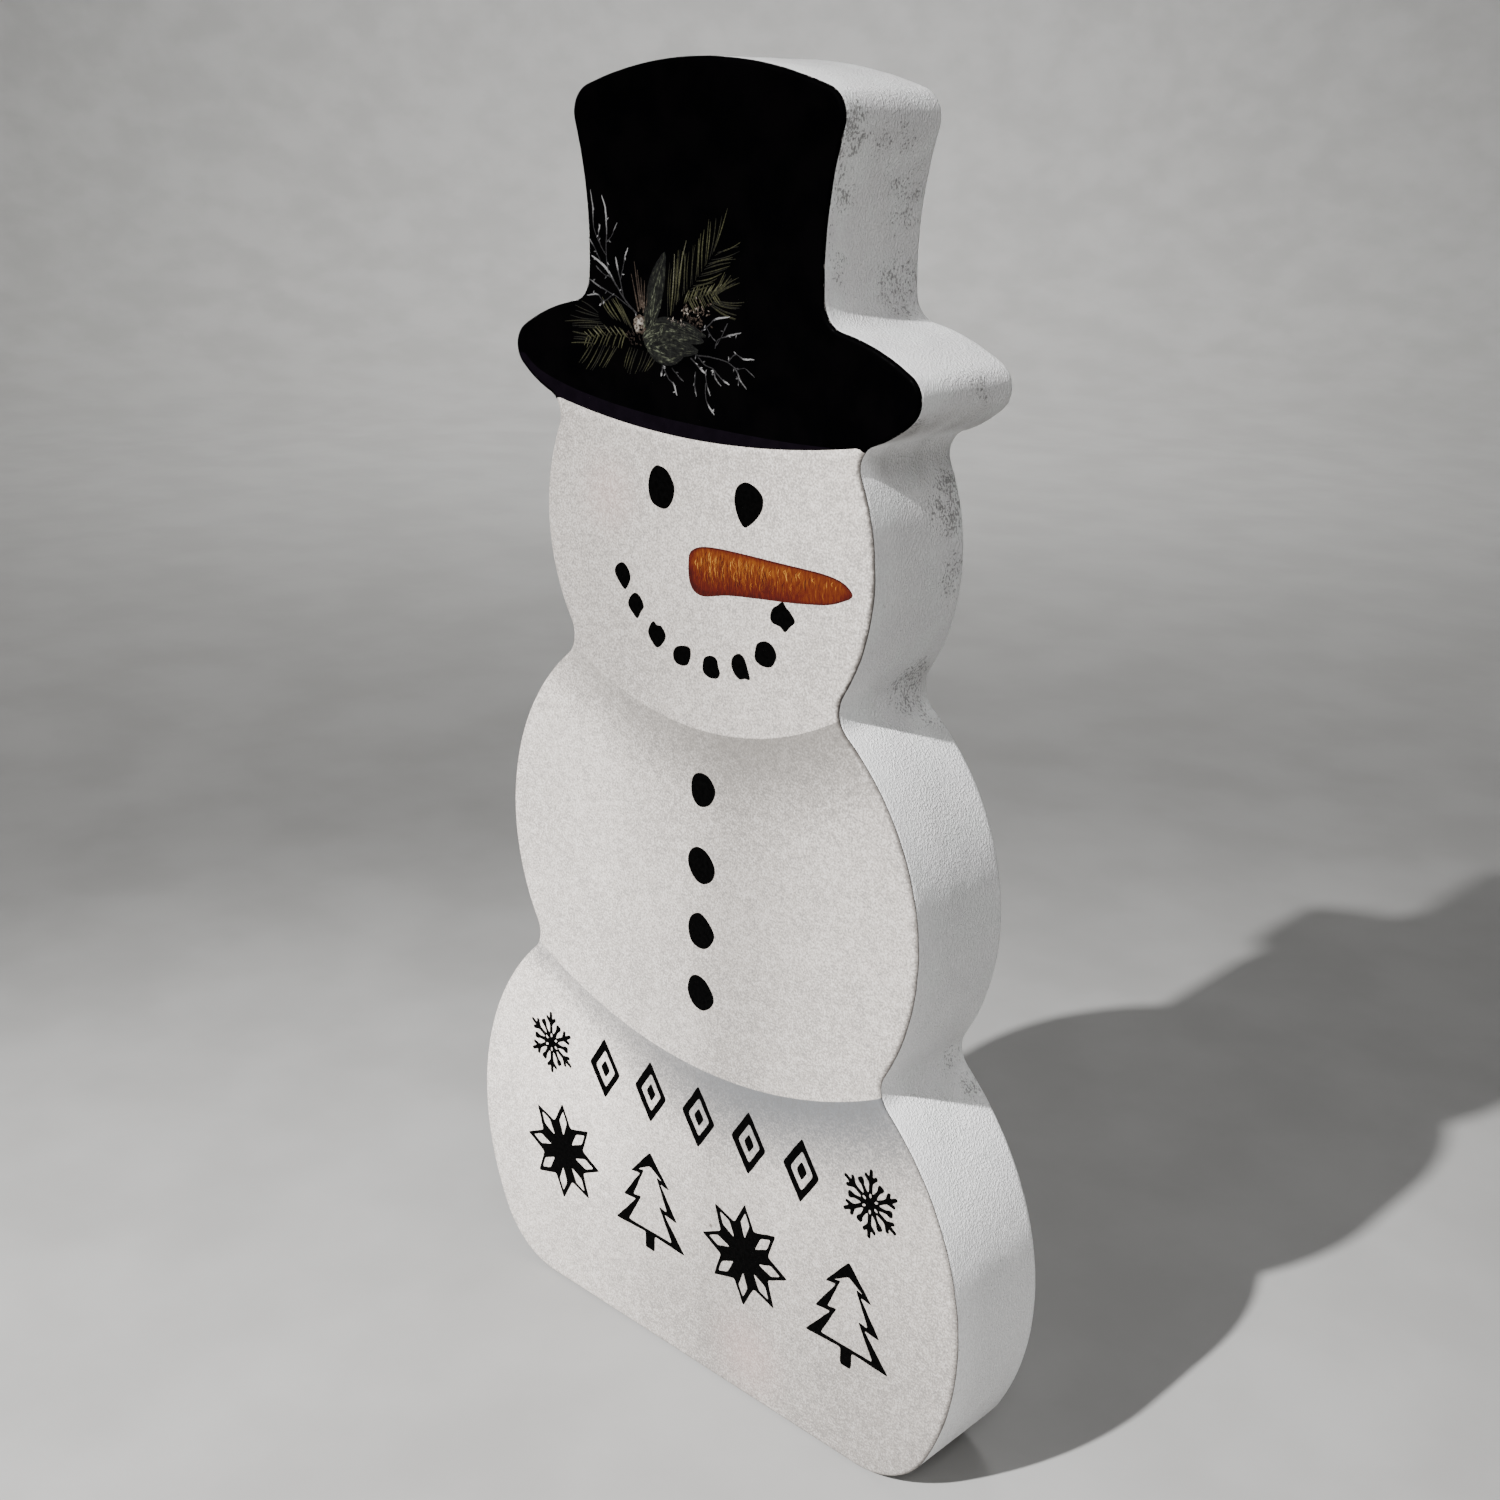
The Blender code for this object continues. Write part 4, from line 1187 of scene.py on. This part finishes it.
# A leaf by its spine, half width, how pale it is at its root and at its tip, and how far forward it lies.
Leaf = namedtuple("Leaf", "spine half_width root tip layer")
LEAVES = {
    "sage_leaf_upper": (
        Leaf(((-15.2, 273.8), (-14, 279.4), (-12.2, 285), (-10.4, 289.4)), 2.6, 0.78, 0.18, 0.004),
        Leaf(((-17.2, 271.8), (-15.9, 276.2), (-13.6, 280.2)), 1.2, 0.74, 0.56, 0.012),
        Leaf(((-15.8, 271.4), (-13.6, 275.4), (-11.4, 279)), 1, 0.86, 0.66, 0.016),
    ),
    "sage_leaf_centre": (
        Leaf(((-17.8, 269.4), (-12, 271.2), (-6, 271.6), (2.6, 270.4)), 3.5, 0.9, 0.24, 0.008),
        Leaf(((-16.8, 267.6), (-14, 270), (-10.6, 273.4)), 2, 0.84, 0.66, 0.02),
        Leaf(((-8.6, 272.8), (-3.6, 272.9), (3, 271.6)), 1.5, 0.44, 0.3, 0.012),
    ),
    "sage_leaf_lower": (
        Leaf(((-16.2, 267.6), (-12.6, 266.6), (-8, 266), (-4.2, 266.8)), 2.1, 0.72, 0.42, 0.012),
        Leaf(((-12, 269), (-6, 268.6), (0.6, 268.2)), 2.2, 0.56, 0.28, 0.016),
    ),
}


# Strokes of a leaf for each millimetre of its half width, and how their tints differ from its own.
LEAF_STROKES = 34
LEAF_TINTS = (-0.46, -0.3, -0.05, 0.18, 0.36)


def leaf(mark, rng, shape):
    """A soft leaf: rows of short strokes from its spine outwards, over a dim blade."""
    spine = smooth_path(shape.spine, 8)
    count = len(spine)

    def blade(t, share):
        i = min(int(t * (count - 1)), count - 2)
        (x, z), (nx, nz) = spine[i], spine[i + 1]
        length = dist(spine[i], spine[i + 1])
        half = shape.half_width * sin(pi * t**0.8) * share
        return (x - (nz - z) / length * half, z + (nx - x) / length * half)

    ts = [k / 16 for k in range(17)]
    loop = [blade(t, 1) for t in ts] + [blade(t, -1) for t in reversed(ts[1:-1])]

    def pale(t, share):
        return (shape.root + (shape.tip - shape.root) * t) * (1.1 - 0.55 * abs(share))

    def blade_tint(x, z):
        near = min(range(count), key=lambda i: dist((x, z), spine[i]))
        share = min(1, dist((x, z), spine[near]) / shape.half_width)
        return pale(near / (count - 1), share) * (0.64 - 0.3 * share)

    mark.patch([smooth_path(loop, 2, closed=True)], blade_tint, spacing=0.6, layer=shape.layer)
    for _ in range(round(LEAF_STROKES * shape.half_width)):
        t, share = rng.uniform(0.02, 0.88), rng.uniform(-0.95, 0.9)
        length = rng.uniform(0.04, 0.1)
        path = [blade(min(0.99, t + length * k), share * (1 - 0.1 * k)) for k in range(3)]
        if dist(path[0], path[-1]) < 0.2:
            continue
        tint = max(0, pale(t, share) + rng.choice(LEAF_TINTS))
        widths = (0.08, rng.uniform(0.18, 0.5), 0.08)
        mark.stroke(path, widths, (tint * 0.8, tint, tint * 0.8), layer=shape.layer + 0.03)


def short_line(x, z, step, angle, ks=(-1, 0, 1)):
    """Three points a step apart on a slanting line."""
    return [(x + step * k * cos(angle), z + step * k * sin(angle)) for k in ks]


def twig(mark, rng, shape):
    """A crooked line whose tip thickens where frost has gathered."""
    points, width, frost = shape
    path = smooth_path(points, 5)
    path = [(x + rng.uniform(-0.06, 0.06), z + rng.uniform(-0.06, 0.06)) for x, z in path]
    dim = 0.1 + 0.18 * frost
    widths = [width * share for share in (0.7, 0.52, 0.5, 0.92, 0.35)]
    mark.stroke(path, widths, (dim * 0.6, dim * 0.9, dim, frost, frost), layer=0.02)
    for _ in range(2):
        x, z = path[rng.randrange(max(1, len(path) - 2))]
        bud = short_line(x, z, 0.5, rng.uniform(0, tau), ks=(0, 1, 2))
        mark.stroke(bud, (0.2, 0.3, 0.1), (dim, frost, frost * 0.8), layer=0.018)


def sprig():
    """The leaves, the needles and the twigs, then the bud with its scales."""
    rng = random.Random(7)
    pine, frost = ink("pine_needle_ink"), ink("frost_white_ink")
    sage, cream = ink("sage_leaf_ink"), ink("cream_bud_ink")
    groups = (
        (LEAVES, leaf, sage, "sage_ink"),
        (PINES, needles, pine, "pine_ink"),
        (TWIGS, twig, frost, "frost_ink"),
    )
    for table, draw, material, slot in groups:
        for name, shapes in table.items():
            mark = Relief()
            for shape in shapes:
                draw(mark, rng, shape)
            mark.piece(name + "_ink", material, slot, name)
    bud_and_scales(rng, cream)


# Dabs of the reddish and cream scales: centre, spread, count and tint.
CREAM_DABS = (
    (-8.3, 274.3, 1.1, 9, 0.68), (-5.2, 273.8, 1, 8, 0.62), (-1.5, 275.4, 3.2, 34, 0.12),
    (-3.8, 276.8, 1.6, 14, 0.62), (1, 277.6, 3, 20, 0.5), (-20.6, 269.8, 3, 22, 0.05),
    (0.6, 274.4, 1.6, 9, 0.36),
)
RUSTY_NEEDLES = (
    ((-18.6, 276), (-20.6, 286.4)), ((-18.2, 276.4), (-19.6, 284.6)), ((-17.8, 276.2), (-18.4, 283)),
    ((-17.4, 275.8), (-17.2, 282.4)), ((-19.2, 275.4), (-21.6, 283.6)), ((-17.6, 275.2), (-17.9, 279.8)),
    ((-16.9, 275.6), (-15.9, 280.6)),
)


def bud_strokes(mark, rng):
    """The pale bud at the sprig's heart."""
    (x, z), (half_x, half_z) = node_box("cream_bud")
    for _ in range(60):
        a, far = rng.uniform(0, tau), sqrt(rng.uniform(0, 1))
        px, pz = x + half_x * 0.9 * far * cos(a), z + half_z * 0.9 * far * sin(a)
        path = short_line(px, pz, 0.5, a + rng.uniform(1, 2.2))
        shade = 0.95 - 0.35 * far + rng.uniform(-0.22, 0.05) - 0.25 * max(0, cos(a + 0.6))
        widths = (0.25, rng.uniform(0.5, 0.9), 0.25)
        layer = rng.uniform(0.02, 0.035)
        mark.stroke(path, widths, (shade * 0.8, shade, shade * 0.8), layer)


def bud_and_scales(rng, cream):
    """The pale bud, the scales about it and the rusty needles behind it."""
    mark = Relief()
    bud_strokes(mark, rng)
    for cx, cz, spread, count, tint in CREAM_DABS:
        for _ in range(count):
            px, pz = cx + rng.gauss(0, spread * 0.55), cz + rng.gauss(0, spread * 0.36)
            path = short_line(px, pz, 0.4, rng.uniform(0, tau))
            shade = max(0, tint + rng.uniform(-0.16, 0.16))
            widths = (0.12, rng.uniform(0.25, 0.5), 0.12)
            mark.stroke(path, widths, (shade * 0.6, shade, shade * 0.6), layer=0.024)
    for (x, z), (tip_x, tip_z) in RUSTY_NEEDLES:
        path = [(x + (tip_x - x) * k / 3, z + (tip_z - z) * k / 3) for k in range(4)]
        mark.stroke(path, (0.45, 0.4, 0.3, 0.15), (0.34, 0.26, 0.2), layer=0.006)
    mark.piece("cream_bud_ink", cream, "cream_ink", "cream_bud")


# ---- Studio

# The camera at the photo's angle: its place, its azimuth, tilt down and roll in degrees, its focal length.
CAMERA_AT = (297.46, -309.62, 319.92)
CAMERA_ANGLES = (43.584, 19.163, 0.876)
CAMERA_LENS = 44.46

# The floor's flat part, its curve and the backdrop's height, and what the lights point at, in metres.
FLOOR_RADIUS = 1.6
COVE_RADIUS = 0.9
WALL_HEIGHT = 2
FLOOR_SIDES = 96
AIM = (0, 0, 0.15)
LAMP_AT = (-0.22, -1.73, 1.53)


def camera():
    """A camera that looks ahead from CAMERA_AT, rolled a little to the side."""
    data = bpy.data.cameras.new("camera")
    data.lens = CAMERA_LENS
    data.sensor_width = 36
    data.clip_start, data.clip_end = 0.01, 20
    a, e, roll = (radians(v) for v in CAMERA_ANGLES)
    ahead = Vector((-sin(a) * cos(e), cos(a) * cos(e), -sin(e)))
    right = Vector((cos(a), sin(a), 0))
    up = right.cross(ahead)
    across = cos(roll) * right + sin(roll) * up
    over = cos(roll) * up - sin(roll) * right
    thing = bpy.data.objects.new("camera", data)
    turn = Matrix((across, over, -ahead)).transposed().to_4x4()
    thing.matrix_world = Matrix.Translation(Vector(CAMERA_AT) * MM) @ turn
    bpy.context.scene.collection.objects.link(thing)
    bpy.context.scene.camera = thing


def area_light(name, place, target, size, power):
    """A round flat lamp: its place and size in metres and its power in watts."""
    data = bpy.data.lights.new(name, "AREA")
    data.shape = "DISK"
    data.size = size
    data.energy = power
    turn_to(data, place, target)
    return data


def turn_to(data, place, target):
    """A light object at a place in metres, turned to the target."""
    thing = bpy.data.objects.new(data.name, data)
    thing.location = place
    thing.rotation_mode = "QUATERNION"
    thing.rotation_quaternion = (Vector(target) - Vector(place)).to_track_quat("-Z", "Y")
    bpy.context.scene.collection.objects.link(thing)


def spot_light(name, place, target, radius, power, cone):
    """A lamp whose light fades towards the edge of its cone, given by its angle and how soft it is."""
    data = bpy.data.lights.new(name, "SPOT")
    data.shadow_soft_size = radius
    data.energy = power
    data.spot_size = radians(cone[0])
    data.spot_blend = cone[1]
    turn_to(data, place, target)


def floor():
    """A pale floor that curves up into a backdrop all round."""
    profile = [(radius, 0) for radius in (0.5, 1, FLOOR_RADIUS)]
    for a in np.radians(np.arange(10, 91, 10)):
        profile.append((FLOOR_RADIUS + COVE_RADIUS * sin(a), COVE_RADIUS * (1 - cos(a))))
    profile.append((FLOOR_RADIUS + COVE_RADIUS, WALL_HEIGHT))
    points = [(0, 0, 0)]
    faces = []
    for k, (radius, height) in enumerate(profile):
        for i in range(FLOOR_SIDES):
            a = tau * i / FLOOR_SIDES
            points.append((radius * cos(a) / MM, radius * sin(a) / MM, height / MM))
            here, after = 1 + k * FLOOR_SIDES + i, 1 + k * FLOOR_SIDES + (i + 1) % FLOOR_SIDES
            inner = (0,) if k == 0 else (after - FLOOR_SIDES, here - FLOOR_SIDES)
            faces.append((inner[-1], here, after) + inner[:-1])
    g = Shader("pale_floor")
    colour = g.mix(g.span(g.noise(60, detail=5), 0.3, 0.7), (0.205, 0.202, 0.196), (0.235, 0.232, 0.226))
    paint = g.finish(colour, 0.55, g.noise(1.5, detail=3), relief=0.02, specular=0.3)
    make_piece("studio_floor", points, faces, [paint])


def lights():
    """A narrow key with a soft pool about it, three large soft boxes and a dim sky."""
    area_light("key", LAMP_AT, AIM, 0.06, 55)
    spot_light("key_pool", LAMP_AT, (0.03, -0.3, 0), 0.03, 850, (28, 1))
    area_light("soft_box", (1, -0.8, 1.4), AIM, 0.8, 16)
    backdrop = area_light("backdrop_light", (-0.5, 0.55, 1.9), (-1.25, 1.35, 0.2), 1, 22)
    backdrop.spread = radians(75)
    area_light("rear_fill", (-0.6, 1.2, 1.6), AIM, 0.7, 12)
    world = bpy.data.worlds.new("studio")
    world.use_nodes = True
    sky = world.node_tree.nodes["Background"]
    sky.inputs[0].default_value = (0.95, 0.97, 1, 1)
    sky.inputs[1].default_value = 0.08
    bpy.context.scene.world = world


def main():
    """Builds the stage and every piece."""
    camera()
    floor()
    lights()
    stations = outline()
    board(stations, board_paint())
    paper_face(stations)
    black = ink("black_ink")
    brim_band(stations, ink("plum_black_ink"))
    face_and_coat(black)
    carrot(ink("carrot_ink"))
    snowflakes(black)
    diamonds(black)
    stars(black)
    trees(black)
    sprig()


main()
